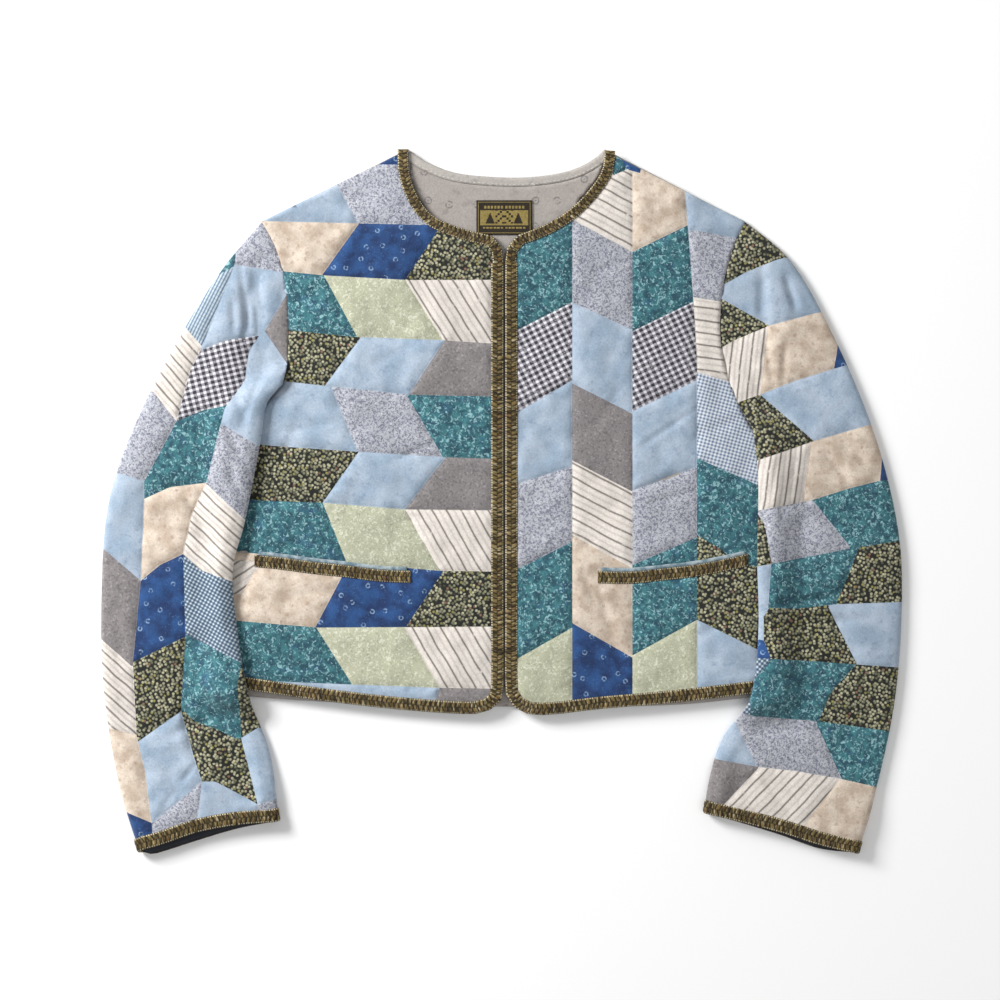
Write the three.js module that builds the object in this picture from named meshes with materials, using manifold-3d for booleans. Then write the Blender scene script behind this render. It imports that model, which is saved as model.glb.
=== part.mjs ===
// A cropped, collarless patchwork jacket laid flat on a table, front side up.
// Millimetres. +X is towards the wearer's left sleeve, +Y towards the neck, +Z up from the table.
// The origin is the middle of the jacket's outline, on the table.
//
// The shell is a thin quilt. The back panel lies on the table, the two fronts lie on it, and each
// sleeve is a flattened tube that hangs beside the body and laps over its side. Braid is sewn
// along the neck, the front edges, the hem, the cuffs and the pocket mouths.

import * as THREE from "three";
import { mergeVertices } from "three/addons/utils/BufferGeometryUtils.js";
import Module from "manifold-3d";

const wasm = await Module();
wasm.setup();

// ---------------------------------------------------------------- driving dimensions

const WALL = 2.6; // quilted shell: top cloth, wadding and lining
const GAP = 0.4; // clearance between pieces that touch
const BRAID_WIDTH = 11.2;
const NECK_BRAID_WIDTH = 9.6;
const BRAID_THICK = 1.4;
const LINING_THICK = 0.8;
const LABEL_THICK = 0.7;
const BODY_AIR = 2.0; // how far the fronts stand off the back
const SLEEVE_AIR = 2.0; // how far a sleeve's upper layer stands off its lower one
const SLEEVE_CROWN = 1.6; // extra loft along the middle of a sleeve
const CUFF_AIR = 3.8; // the same at the cuff, where the lining lies inside
const FOLD = 5.5; // how far a sleeve's folded edge reaches in from its outline
const BRAID_LIFT = BRAID_THICK + GAP; // the shell rises this much over braid on its underside
const LAP_LIFT = 8.4; // a sleeve's height where it lies on the body
const HEM_LAP_LIFT = 12.6; // the same over the hem and its braid
const POCKET_SLIT = 1.6;
const POCKET_DEPTH = 96;
const POCKET_ABOVE = 10; // the bag is sewn this far above the mouth
const POCKET_FLOOR = -158; // the bag stops short of the hem
const FACING_WIDTH = 8;
const LINING_END = 208; // how far down the back lining is made, past what shows
const LABEL = { x: 2, y: 254, width: 50, height: 31 };
const CUFF_SHARE = 0.0245; // the cuff braid's width as a share of a sleeve's length
const LINING_SHARE = 0.08; // how far the dark lining shows inside a cuff, the same way

// ---------------------------------------------------------------- outlines
// The wearer's right side lies at -X and the wearer's left at +X.

const SHOULDER_TIP = { right: [-216, 250.5], left: [218.5, 250.5] };
const NECK_POINT = { right: [-84.5, 316], left: [92.5, 315.5] };

const FRONT_NECK = {
  right: [[-84, 315], [-83, 293], [-74, 270], [-60, 254], [-34, 243.5], [-9, 237.5]],
  left: [[92, 314], [90, 297], [80, 281], [63, 263], [41, 248.5], [14, 238]],
};
const BACK_NECK = [[-84.5, 316], [-70, 305.5], [-44, 295], [-12, 291], [24, 290.5], [58, 295.5], [80, 305], [92.5, 315.5]];

// From the top of the centre-front edge, down, round the corner and along the hem to the side.
const FRONT_EDGE = {
  right: [[-9, 237.5], [0.2, 226], [1.4, 200], [1.4, 150], [1.4, 20], [1.4, -100], [1.2, -168],
    [-4, -183], [-18, -190.5], [-40, -191.3], [-92, -187.5], [-146, -181.5], [-200, -174], [-246, -167]],
  left: [[14, 238], [4.2, 226], [2.8, 200], [2.8, 150], [2.8, 20], [2.8, -100], [3, -168],
    [8.5, -183], [23, -191.5], [45, -192], [88, -187], [133, -183.3], [178, -178.7], [243, -171]],
};
const BACK_HEM = [[-246, -174.5], [-200, -178.5], [-146, -181.5], [-60, -184.5], [60, -185.5], [133, -184.5], [178, -182], [243, -174.5]];

const ARMHOLE = {
  right: [[-216, 250.5], [-204.5, 230], [-196.5, 205], [-192.5, 178], [-191.5, 146], [-193, 122], [-197, 104]],
  left: [[218.5, 250.5], [205, 219], [197.5, 185], [196.5, 140], [208, 97], [225, 64]],
};
// From the armhole's lowest visible point to the underarm and down the side seam, under the sleeve.
const SIDE = {
  right: [[-197, 104], [-212, 86], [-236, 74], [-243, 40], [-245, -60], [-246, -167]],
  left: [[225, 64], [238, 50], [241, 20], [242, -60], [243, -171]],
};

const SLEEVE_OUTER = {
  right: [[-216, 250.5], [-252, 207], [-291, 145], [-330, 68], [-354, -4], [-360, -89], [-358, -170], [-345, -251], [-326, -313.5]],
  left: [[218.5, 250.5], [261, 213], [299, 145.5], [334, 62], [355, -20], [359.5, -90], [353, -180], [334, -269], [319.5, -316]],
};
const SLEEVE_INNER = {
  right: [[-197, 104], [-211, 86], [-216, 54], [-230, -18], [-241, -62], [-237, -115], [-225, -180], [-208, -229], [-200, -287.5]],
  left: [[225, 64], [229.5, 18], [228.5, -50], [229.5, -118], [221.5, -178], [198, -214], [186, -250], [181.5, -280]],
};
const CUFF_UPPER = {
  right: [[-326, -313.5], [-303, -307], [-272, -296.5], [-236, -290], [-200, -287.5]],
  left: [[319.5, -316], [286, -308.5], [250, -297], [214, -287.5], [181.5, -280]],
};
const CUFF_LOWER = {
  right: [[-326, -313.5], [-316, -317.4], [-303, -314.5], [-272, -304.5], [-236, -294], [-200, -287.5]],
  left: [[319.5, -316], [286, -312.5], [250, -300], [214, -289], [181.5, -280]],
};

// The braid's upper edge on each pocket mouth, from its front end to its side end.
const POCKET = {
  right: [[-82, -62.8], [-110, -61.6], [-140, -57.8], [-170, -54.6], [-200, -50.6], [-222, -48.5]],
  left: [[86, -63], [115, -63.5], [145, -60.5], [175, -57], [203, -51.5], [221, -47.5]],
};

// ---------------------------------------------------------------- curves and heights

const FINE = 24; // steps along a curve
const sides = ["right", "left"];
const bySide = (make) => Object.fromEntries(sides.map((side) => [side, make(side)]));

const smooth = (low, high, x) => {
  const t = Math.min(1, Math.max(0, (x - low) / (high - low)));
  return t * t * (3 - 2 * t);
};

// n + 1 points evenly spaced along a smooth curve through the given points.
function run(points, n = FINE) {
  const curve = new THREE.SplineCurve(points.map(([x, y]) => new THREE.Vector2(x, y)));
  return curve.getSpacedPoints(n);
}

function distanceTo(line, x, y) {
  let best = Infinity;
  for (let i = 0; i + 1 < line.length; i++) {
    const a = line[i];
    const b = line[i + 1];
    const dx = b.x - a.x;
    const dy = b.y - a.y;
    const t = Math.min(1, Math.max(0, ((x - a.x) * dx + (y - a.y) * dy) / (dx * dx + dy * dy)));
    best = Math.min(best, Math.hypot(x - a.x - t * dx, y - a.y - t * dy));
  }
  return best;
}

function isInside(outline, x, y) {
  let inside = false;
  for (let i = 0, j = outline.length - 1; i < outline.length; j = i++) {
    const a = outline[i];
    const b = outline[j];
    const crosses = a.y > y !== b.y > y;
    if (crosses && x < ((b.x - a.x) * (y - a.y)) / (b.y - a.y) + a.x) inside = !inside;
  }
  return inside;
}

// How far a point lies inside an outline, measured from some of its edges, and negative outside it.
const depthIn = (outline, lines, x, y) => {
  const d = Math.min(...lines.map((line) => distanceTo(line, x, y)));
  return isInside(outline, x, y) ? d : -d;
};

const hem = run(BACK_HEM);
const backNeck = run(BACK_NECK, 20);
const sideSeam = bySide((s) => run(SIDE[s]));
const armhole = bySide((s) => run(ARMHOLE[s], FINE / 2));
const shoulder = bySide((s) => run([NECK_POINT[s], SHOULDER_TIP[s]], 4));
const frontNeck = bySide((s) => run(FRONT_NECK[s], 16));
const frontEdge = bySide((s) => run(FRONT_EDGE[s], 2 * FINE));
const HEM_TOP = -160; // the front edge's hem part lies below this
const frontHem = bySide((s) => frontEdge[s].filter((p) => p.y < HEM_TOP));
const cuff = bySide((s) => ({ upper: run(CUFF_UPPER[s]), lower: run(CUFF_LOWER[s]) }));
const reversed = (line) => [...line].reverse();

const backOutline = [
  ...hem,
  ...reversed(sideSeam.left),
  ...reversed(armhole.left),
  ...reversed(backNeck),
  ...armhole.right,
  ...sideSeam.right,
];
// The body's sides, carried straight on past the hem and across the neck.
const BEYOND = -270; // well below the hem
const sidesOutline = [
  new THREE.Vector2(SIDE.right[SIDE.right.length - 1][0], BEYOND),
  new THREE.Vector2(SIDE.left[SIDE.left.length - 1][0], BEYOND),
  ...reversed(sideSeam.left),
  ...reversed(armhole.left),
  new THREE.Vector2(...NECK_POINT.left),
  new THREE.Vector2(...NECK_POINT.right),
  ...armhole.right,
  ...sideSeam.right,
];
const frontOutline = bySide((s) => [
  ...frontNeck[s],
  ...frontEdge[s],
  ...reversed(sideSeam[s]),
  ...reversed(armhole[s]),
]);

// A soft ridge along a straight line, fading at both ends.
const ridge = (from, to, width, height) => (x, y) => {
  const dx = to[0] - from[0];
  const dy = to[1] - from[1];
  const length = Math.hypot(dx, dy);
  const along = ((x - from[0]) * dx + (y - from[1]) * dy) / length;
  const off = ((x - from[0]) * dy - (y - from[1]) * dx) / length;
  const fade = smooth(-0.25 * length, 0.3 * length, along) * smooth(1.25 * length, 0.7 * length, along);
  return height * fade * Math.exp(-((off / width) ** 2));
};
const rise = (folds, x, y) => folds.reduce((total, fold) => total + fold(x, y), 0);

const BODY_FOLDS = [
  ridge([-150, 120], [-90, 20], 30, 1.4),
  ridge([-170, -100], [-110, -20], 26, 1.1),
  ridge([-120, 200], [-150, 150], 26, 0.9),
  ridge([60, 150], [140, 60], 30, 1.3),
  ridge([70, -130], [60, -60], 26, 1.2),
  ridge([110, -20], [160, -30], 26, 1.2),
];
const SLEEVE_FOLDS = {
  right: [
    ridge([-240, 190], [-238, 120], 16, 2.2),
    ridge([-252, 100], [-232, 20], 18, 1.6),
    ridge([-300, -20], [-250, -62], 18, 2.0),
    ridge([-300, -190], [-250, -150], 18, 2.2),
    ridge([-318, -205], [-280, -270], 20, 1.2),
  ],
  left: [
    ridge([250, 200], [262, 140], 18, 1.8),
    ridge([236, 160], [246, 90], 16, 1.4),
    ridge([262, 60], [268, -10], 18, 1.6),
    ridge([248, -92], [330, -62], 18, 2.2),
    ridge([240, -130], [300, -150], 20, 1.2),
    ridge([215, -225], [290, -215], 20, 1.4),
  ],
};

// ---------------------------------------------------------------- height of the body's layers
// Every layer of the body is a sheet over one square grid, so two layers keep their clearance.

const CELL = 32;
const CLEAR = BRAID_WIDTH + 1.5 * CELL; // the shell stays raised this far in from its edge braid

const backLow = (x, y) => {
  const d = Math.min(distanceTo(hem, x, y), distanceTo(backNeck, x, y));
  return BRAID_LIFT * smooth(CLEAR + 2 * CELL, CLEAR, d);
};
const backTop = (x, y) => backLow(x, y) + WALL;

// The fronts meet the back at the shoulder, armhole and side seams and stand off it between them.
const frontLow = (side) => (x, y) => {
  const inside = depthIn(sidesOutline, [sideSeam[side], armhole[side], shoulder[side]], x, y);
  const fromEdge = depthIn(frontOutline[side], [frontEdge[side], sideSeam[side]], x, y);
  const loft = smooth(-5, 40, inside) * BODY_AIR + smooth(10, 70, fromEdge) * rise(BODY_FOLDS, x, y);
  return backTop(x, y) + GAP + loft;
};
const frontTop = (side) => {
  const low = frontLow(side);
  return (x, y) => low(x, y) + WALL;
};
const onFront = (side) => {
  const top = frontTop(side);
  return (x, y) => top(x, y) + GAP;
};
const onBack = (x, y) => backTop(x, y) + GAP;
const thickened = (height, thick) => (x, y) => height(x, y) + thick;

// ---------------------------------------------------------------- solids

function geometryOf(points, triangles) {
  const geometry = new THREE.BufferGeometry();
  geometry.setAttribute("position", new THREE.Float32BufferAttribute(points.flat(), 3));
  geometry.setIndex(triangles.flat());
  geometry.computeVertexNormals();
  return geometry;
}

function solidOf(geometry) {
  const bare = new THREE.BufferGeometry();
  bare.setAttribute("position", geometry.getAttribute("position"));
  if (geometry.index) bare.setIndex(geometry.index);
  const merged = mergeVertices(bare, 1e-4);
  return new wasm.Manifold(
    new wasm.Mesh({
      numProp: 3,
      vertProperties: new Float32Array(merged.attributes.position.array),
      triVerts: new Uint32Array(merged.index.array),
    }),
  );
}

function geometryFrom(solid) {
  const mesh = solid.getMesh();
  const geometry = new THREE.BufferGeometry();
  geometry.setAttribute("position", new THREE.BufferAttribute(mesh.vertProperties, 3));
  geometry.setIndex(new THREE.BufferAttribute(mesh.triVerts, 1));
  geometry.computeVertexNormals();
  return geometry;
}

// An upright prism through the whole jacket.
const TALL = 40;
function prism(outline) {
  const shape = new THREE.Shape(outline);
  const geometry = new THREE.ExtrudeGeometry(shape, { depth: 2 * TALL, bevelEnabled: false });
  return solidOf(geometry.translate(0, 0, -TALL));
}

// A wall between two heights over the body's grid, where the grid covers the outline.
function gridWall(outline, low, high) {
  const box = new THREE.Box2().setFromPoints(outline);
  const lines = (from, to) => {
    const first = Math.floor(from / CELL - 0.01);
    const last = Math.ceil(to / CELL + 0.01);
    return Array.from({ length: last - first + 1 }, (_, k) => (first + k) * CELL);
  };
  const xs = lines(box.min.x, box.max.x);
  const ys = lines(box.min.y, box.max.y);
  const nu = xs.length;
  const nv = ys.length;
  const points = [];
  for (const height of [low, high]) {
    for (const y of ys) for (const x of xs) points.push([x, y, height(x, y)]);
  }
  const under = (j, i) => j * nu + i;
  const over = (j, i) => nv * nu + j * nu + i;
  const triangles = [];
  const quad = (a, b, c, d) => triangles.push([a, b, c], [a, c, d]);
  for (let j = 0; j + 1 < nv; j++) {
    for (let i = 0; i + 1 < nu; i++) {
      quad(over(j, i), over(j, i + 1), over(j + 1, i + 1), over(j + 1, i));
      quad(under(j + 1, i + 1), under(j, i + 1), under(j, i), under(j + 1, i));
    }
    quad(under(j, 0), over(j, 0), over(j + 1, 0), under(j + 1, 0));
    quad(under(j + 1, nu - 1), over(j + 1, nu - 1), over(j, nu - 1), under(j, nu - 1));
  }
  for (let i = 0; i + 1 < nu; i++) {
    quad(under(0, i + 1), over(0, i + 1), over(0, i), under(0, i));
    quad(under(nv - 1, i), over(nv - 1, i), over(nv - 1, i + 1), under(nv - 1, i + 1));
  }
  return solidOf(geometryOf(points, triangles));
}

// A layer of the body: the part of the grid wall inside an outline, less any cuts.
function layer(outline, low, thick, ...cuts) {
  const whole = gridWall(outline, low, thickened(low, thick)).intersect(prism(outline));
  return geometryFrom(cuts.reduce((solid, cut) => solid.subtract(prism(cut)), whole));
}

// The line beside another, to its left where the distance is positive.
function beside(line, distance) {
  return line.map((p, k) => {
    const before = line[Math.max(0, k - 1)];
    const after = line[Math.min(line.length - 1, k + 1)];
    const along = after.clone().sub(before).normalize();
    return new THREE.Vector2(p.x - along.y * distance, p.y + along.x * distance);
  });
}

const strip = (line, from, to) => [...beside(line, from), ...reversed(beside(line, to))];

// A tube wall from two matching stacks of closed loops, open at both ends.
function tube(outer, inner) {
  const rows = outer.length;
  const count = outer[0].length;
  const points = [...outer.flat(), ...inner.flat()];
  const out = (j, i) => j * count + (i % count);
  const into = (j, i) => rows * count + j * count + (i % count);
  const triangles = [];
  const quad = (a, b, c, d) => triangles.push([a, b, c], [a, c, d]);
  for (let i = 0; i < count; i++) {
    for (let j = 0; j + 1 < rows; j++) {
      quad(out(j, i), out(j, i + 1), out(j + 1, i + 1), out(j + 1, i));
      quad(into(j, i), into(j + 1, i), into(j + 1, i + 1), into(j, i + 1));
    }
    quad(out(0, i + 1), out(0, i), into(0, i), into(0, i + 1));
    quad(out(rows - 1, i), out(rows - 1, i + 1), into(rows - 1, i + 1), into(rows - 1, i));
  }
  const solid = solidOf(geometryOf(points, triangles));
  if (solid.volume() > 0) return solid;
  return solidOf(geometryOf(points, triangles.map(([a, b, c]) => [a, c, b])));
}

// ---------------------------------------------------------------- body

// Towards the middle of the jacket from an outline that runs from the neck to the hem.
const inward = { right: -1, left: 1 };

const pocketMouth = bySide((s) => run(POCKET[s], 10));
const raised = (line, dy) => line.map((p) => new THREE.Vector2(p.x, p.y + dy));
const pocketSlit = (side) => {
  const mouth = pocketMouth[side].slice(1, -1);
  return [...raised(mouth, GAP), ...reversed(raised(mouth, GAP + POCKET_SLIT))];
};

const backPanel = () => layer(backOutline, backLow, WALL);
const frontPanel = (side) => layer(frontOutline[side], frontLow(side), WALL, pocketSlit(side));

// The pocket bag is one layer sewn behind the front, hanging from the mouth.
function pocketBag(side) {
  const mouth = pocketMouth[side].slice(1, -2);
  const floor = raised(mouth, -POCKET_DEPTH).map((p) => new THREE.Vector2(p.x, Math.max(p.y, POCKET_FLOOR)));
  const low = frontLow(side);
  const outline = [...raised(mouth, POCKET_ABOVE), ...reversed(floor)];
  return layer(outline, (x, y) => low(x, y) - GAP - LINING_THICK, LINING_THICK);
}

// The facing is the strip along the neck edge, and the lining fills the opening below it.
const neckMiddle = backNeck.slice(2, -2);
const backNeckFacing = () => layer(strip(neckMiddle, -GAP, -FACING_WIDTH), onBack, LINING_THICK);

// The lining runs down beside the fronts' neck edges and on under them.
function backLining() {
  const beforeFront = (side) => beside(frontNeck[side].slice(3, 8), -inward[side] * 2 * GAP);
  const tucked = [new THREE.Vector2(50, LINING_END), new THREE.Vector2(-46, LINING_END)];
  const outline = [
    ...beside(neckMiddle, -FACING_WIDTH - GAP),
    ...beforeFront("left"),
    ...tucked,
    ...reversed(beforeFront("right")),
  ];
  return layer(outline, onBack, LINING_THICK);
}

function neckLabel() {
  const { x, y, width, height } = LABEL;
  const corner = (u, v) => new THREE.Vector2(x + u * width, y + v * height);
  const outline = [corner(-0.5, -0.5), corner(0.5, -0.5), corner(0.5, 0.5), corner(-0.5, 0.5)];
  return layer(outline, thickened(onBack, LINING_THICK + GAP), LABEL_THICK);
}

// ---------------------------------------------------------------- braid on the body

const band = (line, direction, width = BRAID_WIDTH) => strip(line, 0.05 * direction, width * direction);
const neckBraid = (side) =>
  layer(band(frontNeck[side], inward[side], NECK_BRAID_WIDTH), onFront(side), BRAID_THICK);

// The front-edge braid starts below the neck braid, which runs on to the centre-front edge.
function frontBraid(side) {
  const [before, last] = frontNeck[side].slice(-2);
  const beyond = last.clone().sub(before).setLength(BRAID_WIDTH).add(last);
  const reach = NECK_BRAID_WIDTH + GAP;
  const neckEnd = strip([...frontNeck[side].slice(-6), beyond], -reach, reach);
  return layer(band(frontEdge[side], inward[side]), onFront(side), BRAID_THICK, neckEnd);
}

const pocketBraid = (side) => {
  const mouth = pocketMouth[side];
  return layer([...mouth, ...reversed(raised(mouth, -BRAID_WIDTH))], onFront(side), BRAID_THICK);
};

const underBack = (x, y) => backLow(x, y) - GAP - BRAID_THICK;
const hemBraidBack = () => layer(band(hem, 1), underBack, BRAID_THICK);
const neckBraidBack = () => layer(band(backNeck, -1), underBack, BRAID_THICK);

// ---------------------------------------------------------------- sleeves

// How high a sleeve's lower layer lies: on the table, or on the side of the body.
const sleeveLow = (side) => (x, y) => {
  const reach = depthIn(frontOutline[side], [sideSeam[side], frontHem[side]], x, y);
  const overHem = smooth(60, 30, distanceTo(frontHem[side], x, y));
  const lap = LAP_LIFT + (HEM_LAP_LIFT - LAP_LIFT) * overHem;
  const underarm = ARMHOLE[side][ARMHOLE[side].length - 1][1];
  const fromCuff = Math.min(distanceTo(cuff[side].upper, x, y), distanceTo(cuff[side].lower, x, y));
  const overBraid = BRAID_LIFT * smooth(60, 20, fromCuff);
  return Math.max(lap * smooth(-30, -4, reach) * smooth(underarm + 34, underarm - 4, y), overBraid);
};

// A sleeve starts inside the armhole and is then cut back to it.
const SEAM_ALLOWANCE = 5;
const PLAN_STEPS = 100; // steps along each side of a sleeve's plan
const drawnIn = (side, points) => points.map(([x, y]) => [x + -Math.sign(x) * SEAM_ALLOWANCE, y]);

// A sleeve's plan, by u from the outer fold to the inner one and v from armhole to cuff.
function sleevePlan(side) {
  const cap = run(drawnIn(side, ARMHOLE[side]), PLAN_STEPS);
  const first = (line) => drawnIn(side, [line[0]]);
  const outer = run([...first(SLEEVE_OUTER[side]), ...SLEEVE_OUTER[side]], PLAN_STEPS);
  const inner = run([...first(SLEEVE_INNER[side]), ...SLEEVE_INNER[side]], PLAN_STEPS);
  const at = (line, t) => {
    const k = Math.min(1, Math.max(0, t)) * (line.length - 1);
    const i = Math.min(line.length - 2, Math.floor(k));
    return line[i].clone().lerp(line[i + 1], k - i);
  };
  const place = (u, v, sheet) => {
    const end = cuff[side][sheet];
    const [b, t] = [at(cap, u), at(end, u)];
    const [s, e] = [at(outer, v), at(inner, v)];
    const corners = (key) =>
      (1 - u) * (1 - v) * cap[0][key] + u * (1 - v) * cap[PLAN_STEPS][key] +
      (1 - u) * v * end[0][key] + u * v * end[end.length - 1][key];
    const mix = (key) =>
      (1 - v) * b[key] + v * t[key] + (1 - u) * s[key] + u * e[key] - corners(key);
    return [mix("x"), mix("y")];
  };
  const width = (v) => at(outer, v).distanceTo(at(inner, v));
  return { place, width };
}

// One closed loop of the flattened section at v. skin is how far outside the shell's face it lies.
const ACROSS = 6; // cells across each layer
const FOLD_STEPS = 4;
function sleeveLoop(side, plan, v, skin) {
  const low = sleeveLow(side);
  const reach = FOLD / plan.width(v);
  const opened = smooth(0, 0.12, v);
  const nearCuff = smooth(0.8, 0.93, v);
  const air = (u, x, y) => {
    const loft = SLEEVE_AIR + (CUFF_AIR - SLEEVE_AIR) * nearCuff;
    const crown = (1 - nearCuff) * Math.sin(Math.PI * u) * (SLEEVE_CROWN + rise(SLEEVE_FOLDS[side], x, y));
    return GAP + opened * (loft - GAP + crown);
  };
  const onLayer = (share, sheet) => {
    const u = reach + share * (1 - 2 * reach);
    const [x, y] = plan.place(u, v, sheet);
    const bottom = low(x, y);
    return [x, y, sheet === "lower" ? bottom - skin : bottom + 2 * WALL + air(u, x, y) + skin];
  };
  const fold = (share) => {
    const [from, to] = share === 0 ? ["lower", "upper"] : ["upper", "lower"];
    const a = onLayer(share, from);
    const b = onLayer(share, to);
    return Array.from({ length: FOLD_STEPS - 1 }, (_, k) => {
      const turn = (k + 1) / FOLD_STEPS;
      const out = (Math.sin(Math.PI * turn) * (FOLD + skin)) / plan.width(v);
      const u = share === 0 ? reach - out : 1 - reach + out;
      const p = plan.place(u, v, from);
      const q = plan.place(u, v, to);
      const level = (1 - Math.cos(Math.PI * turn)) / 2;
      const mix = (i, start, end, t) => start[i] + (end[i] - start[i]) * t;
      return [mix(0, p, q, turn), mix(1, p, q, turn), mix(2, a, b, level)];
    });
  };
  const shares = Array.from({ length: ACROSS + 1 }, (_, k) => k / ACROSS);
  const upper = shares.map((share) => onLayer(share, "upper"));
  const lower = reversed(shares).map((share) => onLayer(share, "lower"));
  return [...upper, ...fold(1), ...lower, ...fold(0)];
}

const sleevePlans = bySide(sleevePlan);
const BODY_STATIONS = 15;
const CUFF_STATIONS = [1 - LINING_SHARE, 1 - CUFF_SHARE, 1];
const SLEEVE_STATIONS = [
  ...Array.from({ length: BODY_STATIONS }, (_, k) => (k / BODY_STATIONS) * CUFF_STATIONS[0]),
  ...CUFF_STATIONS,
];

function sleeveTube(side, stations, outside, inside) {
  const loops = (skin) => stations.map((v) => sleeveLoop(side, sleevePlans[side], v, skin));
  return tube(loops(outside), loops(inside));
}

function sleeve(side) {
  const middle = -Math.sign(SHOULDER_TIP[side][0]) * 3 * CELL;
  const edge = beside(armhole[side], inward[side] * GAP);
  const last = edge[edge.length - 1];
  const bodySide = [
    new THREE.Vector2(last.x + middle, last.y),
    new THREE.Vector2(edge[0].x + middle, edge[0].y + CELL),
    new THREE.Vector2(edge[0].x, edge[0].y + CELL),
  ];
  return geometryFrom(sleeveTube(side, SLEEVE_STATIONS, 0, -WALL).subtract(prism([...edge, ...bodySide])));
}

const cuffBraid = (side) =>
  geometryFrom(sleeveTube(side, CUFF_STATIONS.slice(1), GAP + BRAID_THICK, GAP));
const sleeveLining = (side) =>
  geometryFrom(sleeveTube(side, CUFF_STATIONS, -WALL - 0.8 * GAP, -WALL - 0.8 * GAP - LINING_THICK));

// ---------------------------------------------------------------- the jacket

const cloth = (color, roughness = 0.9) =>
  new THREE.MeshStandardMaterial({ color, roughness, metalness: 0 });
const PATCHWORK = cloth(0x9fb4cf);
const PATCHWORK_SLEEVE = cloth(0x7f9db4);
const LINING = cloth(0xa39d97);
const DARK_LINING = cloth(0x2a2c33);
const BRAID = cloth(0x5a4a22, 0.7);
const LABEL_CLOTH = cloth(0x1f1a12, 0.75);

const jacket = new THREE.Group();
jacket.name = "patchwork_jacket";
const add = (name, geometry, material) => {
  const mesh = new THREE.Mesh(geometry, material);
  mesh.name = name;
  jacket.add(mesh);
};

add("back_panel", backPanel(), PATCHWORK);
add("back_lining", backLining(), LINING);
add("back_neck_facing", backNeckFacing(), LINING);
add("neck_label", neckLabel(), LABEL_CLOTH);
add("neck_braid_back", neckBraidBack(), BRAID);
add("hem_braid_back", hemBraidBack(), BRAID);
for (const side of sides) {
  add(`front_panel_${side}`, frontPanel(side), PATCHWORK);
  add(`pocket_bag_${side}`, pocketBag(side), LINING);
  add(`neck_braid_${side}`, neckBraid(side), BRAID);
  add(`front_braid_${side}`, frontBraid(side), BRAID);
  add(`pocket_braid_${side}`, pocketBraid(side), BRAID);
  add(`sleeve_${side}`, sleeve(side), PATCHWORK_SLEEVE);
  add(`sleeve_lining_${side}`, sleeveLining(side), DARK_LINING);
  add(`cuff_braid_${side}`, cuffBraid(side), BRAID);
}

const outline = new THREE.Box3().setFromObject(jacket);
const middle = outline.getCenter(new THREE.Vector3());
jacket.position.set(-middle.x, -middle.y, -outline.min.z);

export default jacket;
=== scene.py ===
"""A cropped patchwork jacket laid flat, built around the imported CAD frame.

Plan measures are in millimetres, as in the CAD: +X is the wearer's left, +Y the neck, +Z up.
Meshes are turned into metres, in the frame's own coordinates, when they are made.
"""

import bmesh
import bpy
import numpy as np
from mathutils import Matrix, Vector, noise
from mathutils.geometry import delaunay_2d_cdt


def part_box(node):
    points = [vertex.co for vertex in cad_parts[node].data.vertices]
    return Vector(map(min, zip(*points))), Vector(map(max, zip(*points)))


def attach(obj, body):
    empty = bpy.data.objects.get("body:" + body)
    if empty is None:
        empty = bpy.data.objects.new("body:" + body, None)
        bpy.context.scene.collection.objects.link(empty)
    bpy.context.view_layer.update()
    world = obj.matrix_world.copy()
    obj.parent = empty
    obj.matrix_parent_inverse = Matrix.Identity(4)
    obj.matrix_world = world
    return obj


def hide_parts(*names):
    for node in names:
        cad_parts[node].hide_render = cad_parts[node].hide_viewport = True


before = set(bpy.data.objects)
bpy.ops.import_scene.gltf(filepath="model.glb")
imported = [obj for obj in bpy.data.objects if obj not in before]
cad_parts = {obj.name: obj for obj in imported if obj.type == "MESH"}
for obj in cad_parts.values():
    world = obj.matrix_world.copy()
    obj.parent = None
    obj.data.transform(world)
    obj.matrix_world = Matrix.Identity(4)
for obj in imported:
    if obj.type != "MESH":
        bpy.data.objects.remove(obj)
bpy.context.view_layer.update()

MM = 0.001
SIDES = ("right", "left")

# -------------------- sizes of the jacket

WALL = 2.6  # top cloth, wadding and lining together
GAP = 0.4  # between layers that touch
BRAID_WIDTH = 11.2
NECK_BRAID_WIDTH = 9.6
BRAID_THICK = 1.4
LINING_THICK = 0.8
LABEL_THICK = 0.7
BODY_AIR = 2.0  # between the back and a front
SLEEVE_AIR = 2.0  # between a sleeve's two layers
SLEEVE_CROWN = 1.6  # how much more of it there is along the sleeve's middle
CUFF_AIR = 3.8
FOLD = 5.5  # how far in from a sleeve's edges it rounds over
BRAID_LIFT = BRAID_THICK + GAP
LAP_LIFT = 8.4  # a sleeve's underside where it laps over a front
HEM_LAP_LIFT = 12.6  # the same where it laps over the hem's braid
CELL = 32.0  # the CAD's step between heights
CLEAR = BRAID_WIDTH + 1.5 * CELL  # how far the back stays lifted beside its braids
FACING_WIDTH = 8.0
LINING_END = [(50, 208), (-46, 208)]  # the hidden lower corners of the back lining
LABEL_AT = np.array([2.0, 254.0])
LABEL_SIZE = np.array([50.0, 31.0])
POCKET_SLIT = 1.6
POCKET_ABOVE = 10.0  # how far a pocket bag reaches above its mouth
POCKET_DEPTH = 96.0
POCKET_FLOOR = -158.0  # no bag reaches lower than this

# The outlines are given about the jacket's own middle line; the label's box says where that lies.
label_low, label_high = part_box("neck_label")
ORIGIN = np.array([(label_low[i] + label_high[i]) / 2 / MM for i in (0, 1)]) - LABEL_AT

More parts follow.
